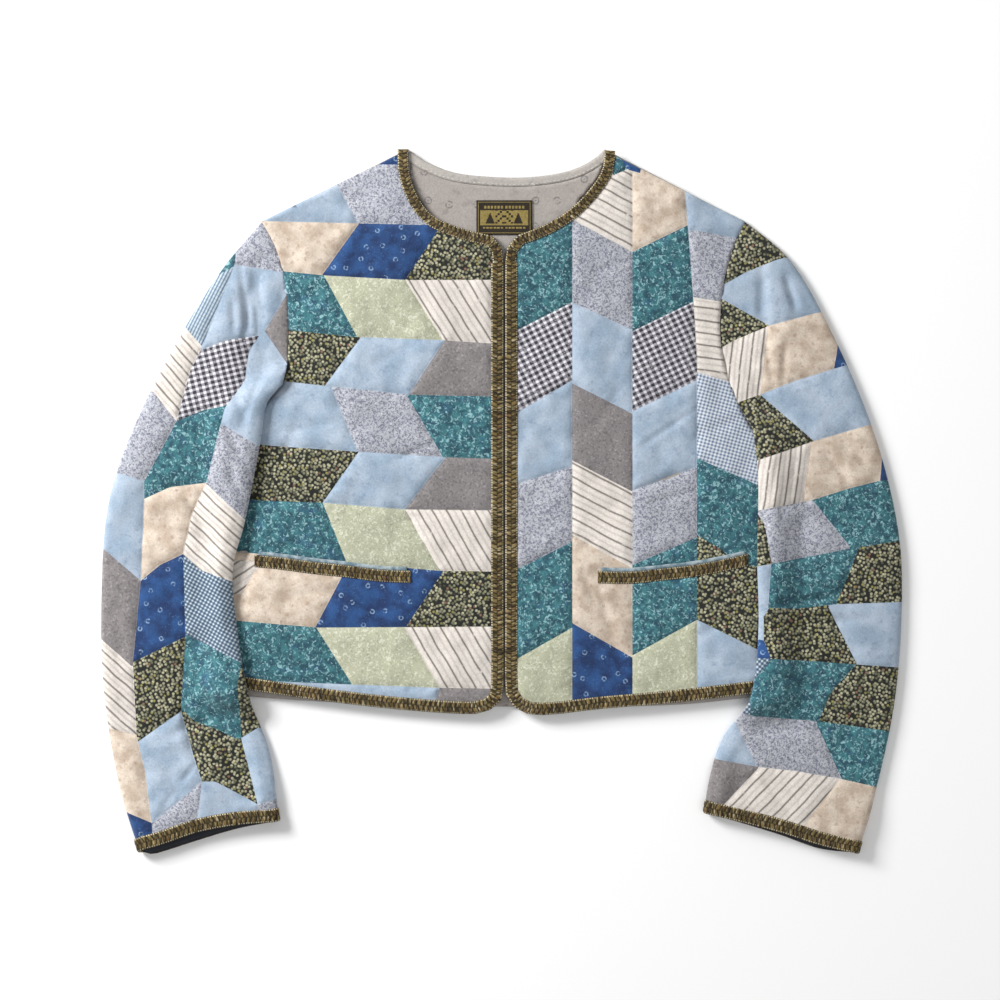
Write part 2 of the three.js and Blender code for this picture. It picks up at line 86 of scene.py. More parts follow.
SHOULDER_TIP = {"right": (-216, 250.5), "left": (218.5, 250.5)}
NECK_POINT = {"right": (-84.5, 316), "left": (92.5, 315.5)}
FRONT_NECK = {
    "right": [(-84, 315), (-83, 293), (-74, 270), (-60, 254), (-34, 243.5), (-9, 237.5)],
    "left": [(92, 314), (90, 297), (80, 281), (63, 263), (41, 248.5), (14, 238)],
}
BACK_NECK = [(-84.5, 316), (-70, 305.5), (-44, 295), (-12, 291), (24, 290.5), (58, 295.5), (80, 305),
             (92.5, 315.5)]
FRONT_EDGE = {
    "right": [(-9, 237.5), (0.2, 226), (1.4, 200), (1.4, 150), (1.4, 20), (1.4, -100),
              (1.2, -168), (-4, -183), (-18, -190.5), (-40, -191.3), (-92, -187.5),
              (-146, -181.5), (-200, -174), (-246, -167)],
    "left": [(14, 238), (4.2, 226), (2.8, 200), (2.8, 150), (2.8, 20), (2.8, -100), (3, -168),
             (8.5, -183), (23, -191.5), (45, -192), (88, -187), (133, -183.3), (178, -178.7), (243, -171)],
}
BACK_HEM = [(-246, -174.5), (-200, -178.5), (-146, -181.5), (-60, -184.5), (60, -185.5),
            (133, -184.5), (178, -182), (243, -174.5)]
ARMHOLE = {
    "right": [(-216, 250.5), (-204.5, 230), (-196.5, 205), (-192.5, 178), (-191.5, 146),
              (-193, 122), (-197, 104)],
    "left": [(218.5, 250.5), (205, 219), (197.5, 185), (196.5, 140), (208, 97), (225, 64)],
}
SIDE = {
    "right": [(-197, 104), (-212, 86), (-236, 74), (-243, 40), (-245, -60), (-246, -167)],
    "left": [(225, 64), (238, 50), (241, 20), (242, -60), (243, -171)],
}
SLEEVE_OUTER = {
    "right": [(-216, 250.5), (-252, 207), (-291, 145), (-330, 68), (-354, -4), (-360, -89),
              (-358, -170), (-345, -251), (-326, -313.5)],
    "left": [(218.5, 250.5), (261, 213), (299, 145.5), (334, 62), (355, -20), (359.5, -90),
             (353, -180), (334, -269), (319.5, -316)],
}
SLEEVE_INNER = {
    "right": [(-197, 104), (-211, 86), (-216, 54), (-230, -18), (-241, -62), (-237, -115),
              (-225, -180), (-208, -229), (-200, -287.5)],
    "left": [(225, 64), (229.5, 18), (228.5, -50), (229.5, -118), (221.5, -178), (198, -214),
             (186, -250), (181.5, -280)],
}
CUFF_UPPER = {
    "right": [(-326, -313.5), (-303, -307), (-272, -296.5), (-236, -290), (-200, -287.5)],
    "left": [(319.5, -316), (286, -308.5), (250, -297), (214, -287.5), (181.5, -280)],
}
CUFF_LOWER = {
    "right": [(-326, -313.5), (-316, -317.4), (-303, -314.5), (-272, -304.5), (-236, -294),
              (-200, -287.5)],
    "left": [(319.5, -316), (286, -312.5), (250, -300), (214, -289), (181.5, -280)],
}
POCKET = {
    "right": [(-82, -62.8), (-110, -61.6), (-140, -57.8), (-170, -54.6), (-200, -50.6), (-222, -48.5)],
    "left": [(86, -63), (115, -63.5), (145, -60.5), (175, -57), (203, -51.5), (221, -47.5)],
}

# -------------------- lines and heights


def smooth(low, high, x):
    """A soft step from 0 at low to 1 at high."""
    t = np.clip((x - low) / (high - low), 0, 1)
    return t * t * (3 - 2 * t)


def lengths(line):
    return np.concatenate([[0], np.cumsum(np.hypot(*np.diff(line[:, :2], axis=0).T))])


def resample(line, steps):
    """The same line with steps + 1 even points."""
    s = lengths(line)
    at = np.linspace(0, s[-1], steps + 1)
    return np.stack([np.interp(at, s, line[:, k]) for k in range(line.shape[1])], 1)


def run(points, steps=24):
    """steps + 1 even points along a smooth curve through the given ones."""
    p = np.array(points, float)
    ends = np.vstack([p[:1], p, p[-1:]])
    t = np.linspace(0, 1, 24, endpoint=False)[:, None]
    parts = []
    for a, b, c, d in zip(ends, ends[1:], ends[2:], ends[3:]):
        v, w = (c - a) / 2, (d - b) / 2
        parts.append((2 * b - 2 * c + v + w) * t**3 + (3 * c - 3 * b - 2 * v - w) * t**2 + v * t + b)
    return resample(np.vstack([*parts, p[-1:]]), steps)


def subdivide(line, step):
    """The same line with points at most `step` apart."""
    parts = []
    for a, b in zip(line, line[1:]):
        n = max(1, int(np.ceil(np.hypot(*(b - a)[:2]) / step)))
        parts.append(a + (b - a) * np.arange(n)[:, None] / n)
    return np.vstack([*parts, line[-1:]])


def distance(line, p):
    best = np.full(len(p), np.inf)
    for a, b in zip(line, line[1:]):
        d = b - a
        t = np.clip(((p - a) @ d) / max(d @ d, 1e-9), 0, 1)
        best = np.minimum(best, np.hypot(*(p - a - t[:, None] * d).T))
    return best


def nearest(lines, p):
    return np.min([distance(line, p) for line in lines], axis=0)


def inside(outline, p):
    x, y = p.T
    odd = np.zeros(len(p), bool)
    for (ax, ay), (bx, by) in zip(outline, np.roll(outline, -1, 0)):
        if ay != by:
            odd ^= ((ay > y) != (by > y)) & (x < (bx - ax) * (y - ay) / (by - ay) + ax)
    return odd


def depth_in(outline, lines, p):
    """How far from the lines each point is, less than 0 outside the outline."""
    return np.where(inside(outline, p), 1, -1) * nearest(lines, p)


def beside(line, gap):
    """The line beside another, to its left where the gap is positive."""
    along = np.gradient(line, axis=0)
    along /= np.hypot(*along.T)[:, None]
    return line + gap * np.stack([-along[:, 1], along[:, 0]], 1)


def closed_line(outline):
    return np.vstack([outline, outline[:1]])


hem = run(BACK_HEM)
back_neck = run(BACK_NECK, 20)
side_seam = {s: run(SIDE[s]) for s in SIDES}
armhole = {s: run(ARMHOLE[s], 12) for s in SIDES}
shoulder = {s: run([NECK_POINT[s], SHOULDER_TIP[s]], 4) for s in SIDES}
front_neck = {s: run(FRONT_NECK[s], 16) for s in SIDES}
front_edge = {s: run(FRONT_EDGE[s], 48) for s in SIDES}
front_hem = {s: front_edge[s][front_edge[s][:, 1] < -160] for s in SIDES}
cuff_upper = {s: run(CUFF_UPPER[s]) for s in SIDES}
cuff_lower = {s: run(CUFF_LOWER[s]) for s in SIDES}
back_outline = np.vstack([
    hem, side_seam["left"][::-1], armhole["left"][::-1], back_neck[::-1],
    armhole["right"], side_seam["right"],
])
sides_outline = np.vstack([
    [[-246, -270], [243, -270]], side_seam["left"][::-1], armhole["left"][::-1],
    [NECK_POINT["left"], NECK_POINT["right"]], armhole["right"], side_seam["right"],
])
front_outline = {
    s: np.vstack([front_neck[s], front_edge[s], side_seam[s][::-1], armhole[s][::-1]])
    for s in SIDES
}


def fold(p, start, end, width, height):
    """A soft ridge, or a trough where the height is negative, fading at both ends."""
    length = np.hypot(*(end - start))
    along = (end - start) / length
    u = (p - start) @ along
    v = (p - start) @ np.array([along[1], -along[0]])
    fade = smooth(-0.25 * length, 0.3 * length, u) * smooth(1.25 * length, 0.7 * length, u)
    return height * fade * np.exp(-((v / width) ** 2))


def total(folds, p):
    """The height of all the folds together at each point."""
    heights = (fold(p, np.array(f[:2], float), np.array(f[2:4], float), *f[4:]) for f in folds)
    return sum(heights, np.zeros(len(p)))


def rumple(p, size, seed):
    """Smooth unevenness from -1 to 1, in swells of about that size."""
    return np.array([noise.noise((x, y, seed)) for x, y in p / size])


# Each fold is (start x, start y, end x, end y, width, height).
BODY_FOLDS = [
    (-150, 120, -90, 20, 30, 1.4), (-170, -100, -110, -20, 26, 1.1), (-120, 200, -150, 150, 26, 0.9),
    (60, 150, 140, 60, 30, 1.3), (70, -130, 60, -60, 26, 1.2), (110, -20, 160, -30, 26, 1.2),
]
SLEEVE_FOLDS = {
    "right": [
        (-240, 190, -238, 120, 16, 2.2), (-252, 100, -232, 20, 18, 1.6),
        (-300, -20, -250, -62, 18, 2.0), (-300, -190, -250, -150, 18, 2.2),
        (-318, -205, -280, -270, 20, 1.2),
    ],
    "left": [
        (250, 200, 262, 140, 18, 1.8), (236, 160, 246, 90, 16, 1.4), (262, 60, 268, -10, 18, 1.6),
        (248, -92, 330, -62, 18, 2.2), (240, -130, 300, -150, 20, 1.2), (215, -225, 290, -215, 20, 1.4),
    ],
}
# Smaller creases in the cloth, over the big folds above.
BODY_CREASES = [
    (-205, 60, -150, 70, 4, -0.7), (-190, 175, -150, 195, 5, -0.6), (-120, 120, -60, 150, 4, -0.5),
    (-180, 20, -120, 10, 5, -0.6), (-100, -20, -40, -10, 4, -0.5), (-200, -90, -150, -80, 5, -0.6),
    (-60, -130, -30, -90, 5, -0.6), (70, 200, 110, 215, 4, -0.6), (120, 10, 165, 26, 3, -0.9),
    (80, 60, 105, 100, 4, -0.6), (130, 120, 165, 100, 5, -0.6), (180, 60, 225, 80, 5, -0.7),
    (30, -100, 55, -60, 4, -0.6), (180, -120, 215, -100, 4, -0.7), (90, -95, 110, -160, 5, -0.8),
    (172, 80, 122, 47, 2.2, -1.0), (172, 9, 133, -3, 2.0, -1.0), (72, -60, 84, -96, 3.5, -1.2),
    (84, -74, 98, -110, 3.5, -1.1), (22, 40, 52, 24, 2.2, -0.8), (-96, 36, -60, 52, 2.5, -0.8),
    (-190, -128, -150, -150, 3, -0.9), (-110, 180, -70, 150, 3, -0.8), (-205, 30, -186, 60, 6, -1.4),
    (-228, -60, -236, 20, 10, -2.0),
]
SLEEVE_CREASES = {
    "right": [
        (-222, 205, -214, 130, 5, -1.8), (-238, 100, -226, 60, 5, -1.2), (-300, 12, -262, 0, 4, -1.3),
        (-290, -30, -236, -44, 5, -1.6), (-320, -50, -285, -82, 5, -1.2),
        (-330, -110, -300, -130, 5, -1.0), (-262, -118, -230, -160, 5, -1.5),
        (-300, -212, -262, -196, 5, -1.3), (-306, -236, -276, -276, 4, -1.4),
        (-345, -100, -340, -200, 8, -1.0), (-250, -225, -226, -262, 5, -1.2),
        (-234, 204, -226, 148, 3, -2.0), (-226, 192, -232, 140, 2.5, -1.6),
        (-242, 180, -240, 150, 3, -1.4), (-216, 110, -232, 70, 3, -1.5),
        (-252, 74, -232, 36, 3.5, -2.0), (-244, 30, -232, 2, 3.5, -2.0), (-284, 2, -264, -28, 3, -1.8),
        (-271, -36, -240, -60, 4, -2.0), (-284, -127, -250, -150, 5, -3.0),
        (-250, -136, -234, -160, 4, -2.2), (-287, -184, -277, -226, 4, -1.8),
        (-302, -272, -276, -238, 2, -1.2),
    ],
    "left": [
        (232, 214, 236, 150, 5, -1.8), (222, 120, 240, 76, 5, -1.3), (252, 40, 250, -20, 5, -1.2),
        (250, -78, 318, -80, 5, -1.8), (262, -112, 330, -106, 5, -1.2), (236, -160, 300, -168, 5, -1.1),
        (222, -204, 270, -206, 5, -1.4), (210, -250, 250, -262, 5, -1.0), (300, 60, 330, 30, 6, -0.9),
        (300, -220, 330, -190, 5, -1.0), (254, 204, 264, 170, 4, -2.6), (264, 200, 280, 176, 5, -1.2),
        (236, 200, 232, 170, 3, -1.6), (238, 140, 242, 108, 2.5, -1.4), (254, 142, 252, 104, 2.5, -1.2),
        (244, -92, 300, -86, 3.5, -3.0), (256, -70, 290, -64, 4, -1.2), (288, 44, 310, 20, 3, -1.4),
        (246, 36, 240, 0, 2.5, -1.3), (262, 40, 256, -2, 2.5, -1.2), (236, -250, 262, -286, 3, -1.0),
    ],
}
CREASE_DEPTH = 1.5  # by how much the creases are deepened


def back_low(p):
    return BRAID_LIFT * smooth(CLEAR + 2 * CELL, CLEAR, nearest([hem, back_neck], p))


def back_top(p):
    return back_low(p) + WALL


def front_low(side, p):
    edges = [side_seam[side], armhole[side], shoulder[side]]
    loft = smooth(-5, 40, depth_in(sides_outline, edges, p)) * BODY_AIR
    edges = [front_edge[side], side_seam[side]]
    free = smooth(10, 70, depth_in(front_outline[side], edges, p))
    return back_top(p) + GAP + loft + free * total(BODY_FOLDS, p)


def front_top(side, p):
    return front_low(side, p) + WALL


def sleeve_low(side, p):
    reach = depth_in(front_outline[side], [side_seam[side], front_hem[side]], p)
    over_hem = smooth(60, 30, distance(front_hem[side], p))
    lap = LAP_LIFT + (HEM_LAP_LIFT - LAP_LIFT) * over_hem
    underarm = ARMHOLE[side][-1][1]
    from_cuff = nearest([cuff_upper[side], cuff_lower[side]], p)
    over_braid = BRAID_LIFT * smooth(60, 20, from_cuff)
    laps = smooth(-30, -4, reach) * smooth(underarm + 34, underarm - 4, p[:, 1])
    return np.maximum(lap * laps, over_braid)


outer_fold = {s: run(SLEEVE_OUTER[s], 60) for s in SIDES}
inner_fold = {s: run(SLEEVE_INNER[s], 60) for s in SIDES}


def sleeve_height(side, p):
    """The sleeve's whole height over its lower face."""
    from_outer = distance(outer_fold[side], p)
    from_inner = distance(inner_fold[side], p)
    from_cap = distance(armhole[side], p)
    from_cuff = nearest([cuff_upper[side], cuff_lower[side]], p)
    across = from_outer / (from_outer + from_inner + 1e-9)
    along = from_cap / (from_cap + from_cuff + 1e-9)
    near_cuff = smooth(0.8, 0.93, along)
    loft = SLEEVE_AIR + (CUFF_AIR - SLEEVE_AIR) * near_cuff
    crown = (1 - near_cuff) * np.sin(np.pi * across) * (SLEEVE_CROWN + total(SLEEVE_FOLDS[side], p))
    return 2 * WALL + GAP + smooth(0, 0.12, along) * (loft - GAP + crown)


# -------------------- patchwork
# A layout is a set of bands. `edges` are the seams between bands and each band has its own
# slanted seams and, between them, its cloths. Bands that run across are listed from the neck
# down with their cloths from -X to +X; bands that run down are listed from -X to +X with their
# cloths from the neck down. `inserts` are single odd patches: (cloth, outline).

LAYOUTS = {}
LAYOUTS["front_right"] = {
    "across": True,
    "edges": [
        [(-216, 251), (-65, 247), (6, 246)],
        [(-216, 207), (-197, 206), (-159, 202), (-87, 198), (6, 198)],
        [(-216, 154), (-192, 153), (-135, 147), (-56, 144), (6, 140)],
        [(-216, 108), (-194, 107), (-159, 103), (-84, 95), (6, 93)],
        [(-250, 54), (-206, 49), (-132, 44), (-53, 39), (6, 37)],
        [(-250, 4), (-216, 0), (-161, -2), (-87, -8), (6, -9)],
        [(-250, -45), (-227, -47), (-140, -56), (-56, -63), (6, -64)],
        [(-250, -107), (-236, -108), (-164, -114), (6, -113)],
        [(-250, -160), (-135, -165), (-56, -168), (6, -169)],
    ],
    "bands": [
        ([[(-148, 284), (-130, 250)]], "light_blue speckle"),
        ([[(-128, 249), (-161, 203)], [(-55, 246), (-87, 198)]], "cream royal floral"),
        ([[(-160, 202), (-130, 147)], [(-87, 198), (-53, 144)]], "teal sage stripes"),
        ([[(-127, 146), (-159, 103)], [(-51, 144), (-84, 94)]], "floral light_blue taupe"),
        ([[(-152, 99), (-130, 45)], [(-85, 94), (-53, 39)]], "light_blue speckle teal"),
        ([[(-129, 43), (-161, -2)], [(-51, 38), (-87, -8)]], "floral light_blue taupe"),
        ([[(-161, -2), (-140, -54)], [(-87, -9), (-56, -63)]], "teal sage stripes"),
        ([[(-137, -56), (-167, -113)], [(-53, -64), (-86, -113)]], "cream royal floral"),
        ([[(-166, -115), (-135, -164)], [(-87, -115), (-56, -168)]], "teal sage stripes"),
        ([[(-56, -169), (-63, -188)]], "light_blue taupe"),
    ],
    "inserts": [
        ("royal", [(-121, 302), (-80, 301), (-80, 322), (-104, 322)]),
        ("stripes", [(-244, -54), (-228, -54), (-215, -57), (-223, -65), (-234, -84), (-244, -84)]),
    ],
}


def column(x0, x1, heights):
    """Slanted seams across a band that runs down, each from (x0, a) to (x1, b)."""
    return [[(x0, a), (x1, b)] for a, b in heights]


LAYOUTS["front_left"] = {
    "across": False,
    "edges": [
        [(63, 320), (63, -200)],
        [(117, 320), (117, -200)],
        [(163, 300), (164, 279), (169, 216), (173, 162), (175, 126), (175, -200)],
    ],
    "bands": [
        (column(13.5, 63, [(153, 178), (79, 108), (15, 31), (-62, -37), (-142, -114)]),
         "teal gingham light_blue speckle teal sage"),
        (column(63, 117, [(252, 223), (178, 153), (105, 78), (36, 8), (-31, -61), (-110, -141)]),
         "stripes speckle light_blue taupe stripes cream royal"),
        (column(117, 175, [(223, 251), (152, 180), (80, 108), (9, 30), (-58, -33), (-139, -107)]),
         "cream teal gingham light_blue speckle teal sage"),
        (column(175, 232, [(242, 232), (182, 173), (115, 99), (38, 13)])
         + [[(175, -31), (197, -44), (213, -58), (228, -59)], [(175, -107), (232, -135)]],
         "light_blue speckle stripes micro teal floral light_blue"),
    ],
    "inserts": [
        ("royal", [(106, 310), (126, 306), (124, 294), (112, 297)]),
        ("teal", [(97, 316), (106, 310), (112, 297), (100, 292)]),
    ],
}
LAYOUTS["sleeve_right"] = {
    "across": False,
    "edges": [
        [(-237, 240), (-240, 212), (-269, 138), (-280, 116), (-292, 71), (-321, 17), (-321, 0),
         (-324, -72), (-331, -145), (-328, -211), (-320, -244), (-314, -289), (-312, -324)],
        [(-216, 215), (-220, 180), (-218, 148), (-227, 135), (-231, 107), (-248, 83), (-256, 52),
         (-265, 16), (-278, -11), (-286, -48), (-284, -122), (-288, -189), (-278, -225),
         (-269, -252), (-275, -300)],
        [(-173, -126), (-232, -144), (-236, -162), (-234, -214), (-227, -241), (-219, -272),
         (-215, -300)],
    ],
    "bands": [
        ([[(-249, 215), (-238, 224)], [(-254, 203), (-241, 210)], [(-284, 155), (-269, 138)],
          [(-314, 99), (-292, 71)], [(-341, 24), (-321, 17)], [(-357, -44), (-324, -72)],
          [(-359, -125), (-333, -148)], [(-354, -204), (-328, -211)], [(-338, -279), (-314, -289)]],
         "speckle teal pinstripe stripes_close speckle light_blue taupe stripes_close cream royal"),
        ([[(-240, 212), (-197, 205)], [(-270, 135), (-246, 144), (-218, 148)],
          [(-290, 72), (-268, 81), (-246, 85)], [(-320, 2), (-298, 12), (-265, 16)],
          [(-324, -72), (-307, -58), (-286, -48)], [(-331, -145), (-284, -122)],
          [(-326, -216), (-308, -203), (-288, -189)], [(-313, -289), (-269, -252)]],
         "speckle light_blue gingham teal cream royal floral light_blue speckle"),
        ([[(-240, 212), (-190, 204)], [(-248, 67), (-217, 48)], [(-264, 14), (-230, -17)],
          [(-286, -48), (-271, -62), (-240, -73)], [(-284, -120), (-259, -132), (-233, -145)],
          [(-286, -189), (-274, -199), (-256, -205), (-241, -213)],
          [(-269, -252), (-257, -252), (-219, -272)]],
         "speckle light_blue speckle stripes_close micro_dark teal floral light_blue"),
        ([[(-234, -213), (-219, -204)], [(-218, -272), (-203, -268)]], "floral light_blue speckle"),
    ],
    "inserts": [
        ("taupe", [(-190, 190), (-194, 184), (-213, 152), (-193, 123), (-188, 118)]),
    ],
}
LAYOUTS["sleeve_left"] = {
    "across": True,
    "edges": [
        [(190, 190), (201, 195), (219, 205), (246, 216), (268, 221)],
        [(188, 132), (209, 144), (240, 157), (281, 168), (304, 173)],
        [(192, 79), (212, 88), (234, 96), (262, 107), (297, 118), (322, 125)],
        [(216, 31), (229, 36), (279, 53), (330, 68), (349, 72)],
        [(222, -10), (229, -9), (277, 0), (312, 11), (340, 18), (358, 20)],
        [(222, -60), (245, -56), (313, -43), (358, -36)],
        [(222, -96), (241, -96), (265, -97), (300, -93), (362, -91)],
        [(222, -140), (237, -141), (317, -147), (360, -150)],
        [(214, -190), (225, -193), (284, -198), (346, -207), (356, -209)],
        [(184, -230), (192, -232), (230, -239), (266, -243), (305, -250), (340, -258)],
    ],
    "bands": [
        ([], "floral"),
        ([[(183, 189), (240, 157)]], "floral light_blue"),
        ([[(238, 153), (232, 95)], [(302, 142), (297, 112)]], "stripes_close cream royal"),
        ([[(232, 95), (279, 54)]], "floral light_blue"),
        ([[(277, 53), (270, -2)], [(342, 46), (339, 14)]], "stripes_close cream royal"),
        ([[(229, -12), (235, -22), (241, -56)], [(279, 0), (312, -41)]], "floral speckle teal"),
        ([[(241, -56), (238, -96)], [(320, -43), (300, -93)]], "light_blue teal floral"),
        ([[(239, -96), (234, -104), (234, -128), (240, -141)], [(293, -96), (319, -148)]],
         "light_blue floral light_blue"),
        ([[(240, -142), (222, -165)], [(317, -148), (295, -172), (284, -198)]],
         "micro_dark teal floral"),
        ([[(205, -190), (216, -213), (230, -241)], [(282, -200), (305, -250)]],
         "light_blue speckle teal"),
        ([[(230, -240), (199, -272)], [(303, -250), (270, -292)]], "taupe stripes cream"),
    ],
    "inserts": [("royal", [(228, -124), (234, -125), (240, -141), (228, -141)])],
}


def zigzag():
    """The back's rows, slanted one way and then the other, on the same plan as the fronts'."""
    cloths = [
        "light_blue speckle cream royal teal stripes floral sage light_blue",
        "cream royal floral speckle stripes light_blue teal taupe cream",
        "teal sage stripes floral light_blue speckle gingham cream teal",
        "floral light_blue taupe teal cream sage stripes light_blue royal",
        "micro speckle teal light_blue gingham taupe royal floral speckle",
    ]
    first, height, width, slant = 300, 52, 66, 14
    tops = [first - height * k for k in range(1, 10)]
    edges = [[(-260, y + 3), (0, y), (260, y + 2)] for y in tops]
    bands = []
    for k in range(len(tops) + 1):
        top = first - height * k
        lean = slant if k % 2 else -slant
        cuts = [[(x - lean, top), (x + lean, top - height)] for x in range(-231, 260, width)]
        bands.append((cuts, cloths[k % len(cloths)]))
    return {"across": True, "edges": edges, "bands": bands, "inserts": []}


LAYOUTS["back"] = zigzag()
for layout in LAYOUTS.values():
    layout["edges"] = [np.array(e, float) for e in layout["edges"]]
    layout["bands"] = [([np.array(c, float) for c in cuts], cloths.split())
                       for cuts, cloths in layout["bands"]]
    layout["inserts"] = [(cloth, np.array(o, float)) for cloth, o in layout["inserts"]]


def level(line, at, key):
    """Where a seam lies along axis `key`, for points at the other coordinate."""
    line = line[np.argsort(line[:, 1 - key])]
    return np.interp(at[:, 1 - key], line[:, 1 - key], line[:, key])


def passed(lines, p, down):
    """How many seams lie before each point, going down or towards +X."""
    key, way = (1, -1) if down else (0, 1)
    return sum((way * p[:, key] > way * level(e, p, key) for e in lines), np.zeros(len(p), int))


PATCHES = 12  # more than the patches in any band
FINE_STEP = 0.6  # how closely a seam is followed to find where it ends
OWN_GRAIN = {"pinstripe": 1.1}  # cloths that don't follow a slanted seam, with their direction
INSERT_GRAIN = 0.6
UNCUT_GRAIN = 0.3


def patch_of(layout, p):
    band = passed(layout["edges"], p, layout["across"])
    place = np.zeros(len(p), int)
    for k, (cuts, _) in enumerate(layout["bands"]):
        own = band == k
        if own.any():
            place[own] = passed(cuts, p[own], not layout["across"])
    patch = band * PATCHES + place
    for k, (_, outline) in enumerate(layout["inserts"]):
        patch[inside(outline, p)] = (len(layout["bands"]) + k) * PATCHES
    return patch


def patch_look(layout, patch):
    """One patch's cloth and the direction of its grain, in radians."""
    band, place = divmod(int(patch), PATCHES)
    if band >= len(layout["bands"]):
        return layout["inserts"][band - len(layout["bands"])][0], INSERT_GRAIN
    cuts, cloths = layout["bands"][band]
    if not cuts:
        return cloths[0], UNCUT_GRAIN
    cut = cuts[max(0, min(place, len(cuts)) - 1)]
    run_x, run_y = cut[-1] - cut[0]
    name = cloths[min(place, len(cloths) - 1)]
    return name, OWN_GRAIN.get(name, float(np.arctan2(run_y, run_x)))


def seam_lines(layout, outline):
    """Every seam of a layout, as lines that stay inside the outline."""
    lines = []

    def keep(line, own):
        ok = own & inside(outline, line)
        for part in np.split(np.arange(len(line)), np.flatnonzero(np.diff(ok.astype(int))) + 1):
            if ok[part[0]] and len(part) > 4:
                lines.append(line[np.unique(np.append(part[::6], part[-1]))])

    everywhere = [o for _, o in layout["inserts"]]

    def clear_of_inserts(line):
        return ~np.any([inside(o, line) for o in everywhere], axis=0) if everywhere else True

    for edge in layout["edges"]:
        line = subdivide(edge, FINE_STEP)
        keep(line, np.ones(len(line), bool) & clear_of_inserts(line))
    for k, (cuts, _) in enumerate(layout["bands"]):
        for cut in cuts:
            before = cut[:1] * 1.1 - cut[1:2] * 0.1
            after = cut[-1:] * 1.1 - cut[-2:-1] * 0.1
            line = subdivide(np.vstack([before, cut, after]), FINE_STEP)
            own = passed(layout["edges"], line, layout["across"]) == k
            keep(line, own & clear_of_inserts(line))
    for _, shape in layout["inserts"]:
        line = subdivide(closed_line(shape), FINE_STEP)
        keep(line, np.ones(len(line), bool))
    return lines


# -------------------- meshes

SEAM_STEP = 3.0
HOLE_STEP = 2.0
GRID_STEP = 2.8
SEAM_GUIDES = (1.1, 2.6)  # rows of points beside each seam
SEAM_CLEAR = 3.6  # the grid starts this far from a seam, beyond the rows beside it
RING_CLEAR = 0.8


def hexagons(outline, step):
    """A hexagonal grid of points over an outline."""
    low, high = outline.min(0), outline.max(0)
    rows = []
    for k, y in enumerate(np.arange(low[1], high[1], step * 0.866)):
        x = np.arange(low[0] + (k % 2) * step / 2, high[0], step)
        rows.append(np.stack([x, np.full(len(x), y)], 1))
    return np.vstack(rows)


def triangulate(outline, seams, rings=(), holes=(), step=GRID_STEP):
    """Points and triangles over an outline, with edges along the seams, rings and holes."""
    loop = subdivide(closed_line(outline), SEAM_STEP)
    closed = [closed_line(h) for h in holes]
    hard = [loop, *(subdivide(h, HOLE_STEP) for h in closed)]
    soft = [subdivide(s, SEAM_STEP) for s in seams]
    guides = [*soft, *rings]
    points, edges = [], []
    for line in [*hard, *guides]:
        start = len(points)
        points.extend(line)
        edges.extend((start + k, start + k + 1) for k in range(len(line) - 1))
    edge_clear = [loop, *closed]
    bends = [s for s in soft if len(s) > 2]
    for gap in SEAM_GUIDES if bends else ():
        near = np.vstack([beside(s, way * gap) for s in bends for way in (-1, 1)])
        ok = inside(outline, near) & (nearest(soft, near) > gap - 0.15)
        ok &= nearest([*edge_clear, *rings], near) > 0.9
        points.extend(near[ok])
    grid = hexagons(outline, step)
    grid = grid[inside(outline, grid)]
    grid = grid[nearest(edge_clear, grid) > 0.6 * step]
    if guides:
        grid = grid[nearest(guides, grid) > (SEAM_CLEAR if soft else RING_CLEAR)]
    points.extend(grid)
    made = delaunay_2d_cdt([Vector(p) for p in points], edges, [], 1, 1e-4, False)
    flat = np.array([tuple(v) for v in made[0]])
    faces = np.array(made[2])
    middle = flat[faces].mean(1)
    ok = inside(outline, middle)
    for hole in holes:
        ok &= ~inside(hole, middle)
    faces = faces[ok]
    a, b, c = (flat[faces[:, k]] for k in range(3))
    turn = (b - a)[:, 0] * (c - a)[:, 1] - (b - a)[:, 1] * (c - a)[:, 0]
    faces = faces[np.abs(turn) > 1e-6]
    turn = turn[np.abs(turn) > 1e-6]
    faces[turn < 0] = faces[turn < 0][:, ::-1]
    used, faces = np.unique(faces, return_inverse=True)
    return flat[used], faces.reshape(-1, 3)


def boundary(faces):
    """The triangles' outer edges, each going the way its triangle does."""
    edges = np.vstack([faces[:, [0, 1]], faces[:, [1, 2]], faces[:, [2, 0]]])
    key = np.sort(edges, 1)
    _, first, count = np.unique(key, axis=0, return_index=True, return_counts=True)
    return edges[first[count == 1]]


def rim_owner(faces, rim):
    """The triangle that each outer edge belongs to."""
    edges = {}
    for k, (a, b, c) in enumerate(faces):
        edges[a, b] = edges[b, c] = edges[c, a] = k
    return np.array([edges[a, b] for a, b in rim])


def grain(patch, turn):
    """Where on its own cloth a patch was cut: direction, two shifts and a tint."""
    patch = np.asarray(patch)
    return np.stack([turn, (patch * 37.7) % 97, (patch * 61.3) % 89, (patch * 0.618) % 1.0], -1)


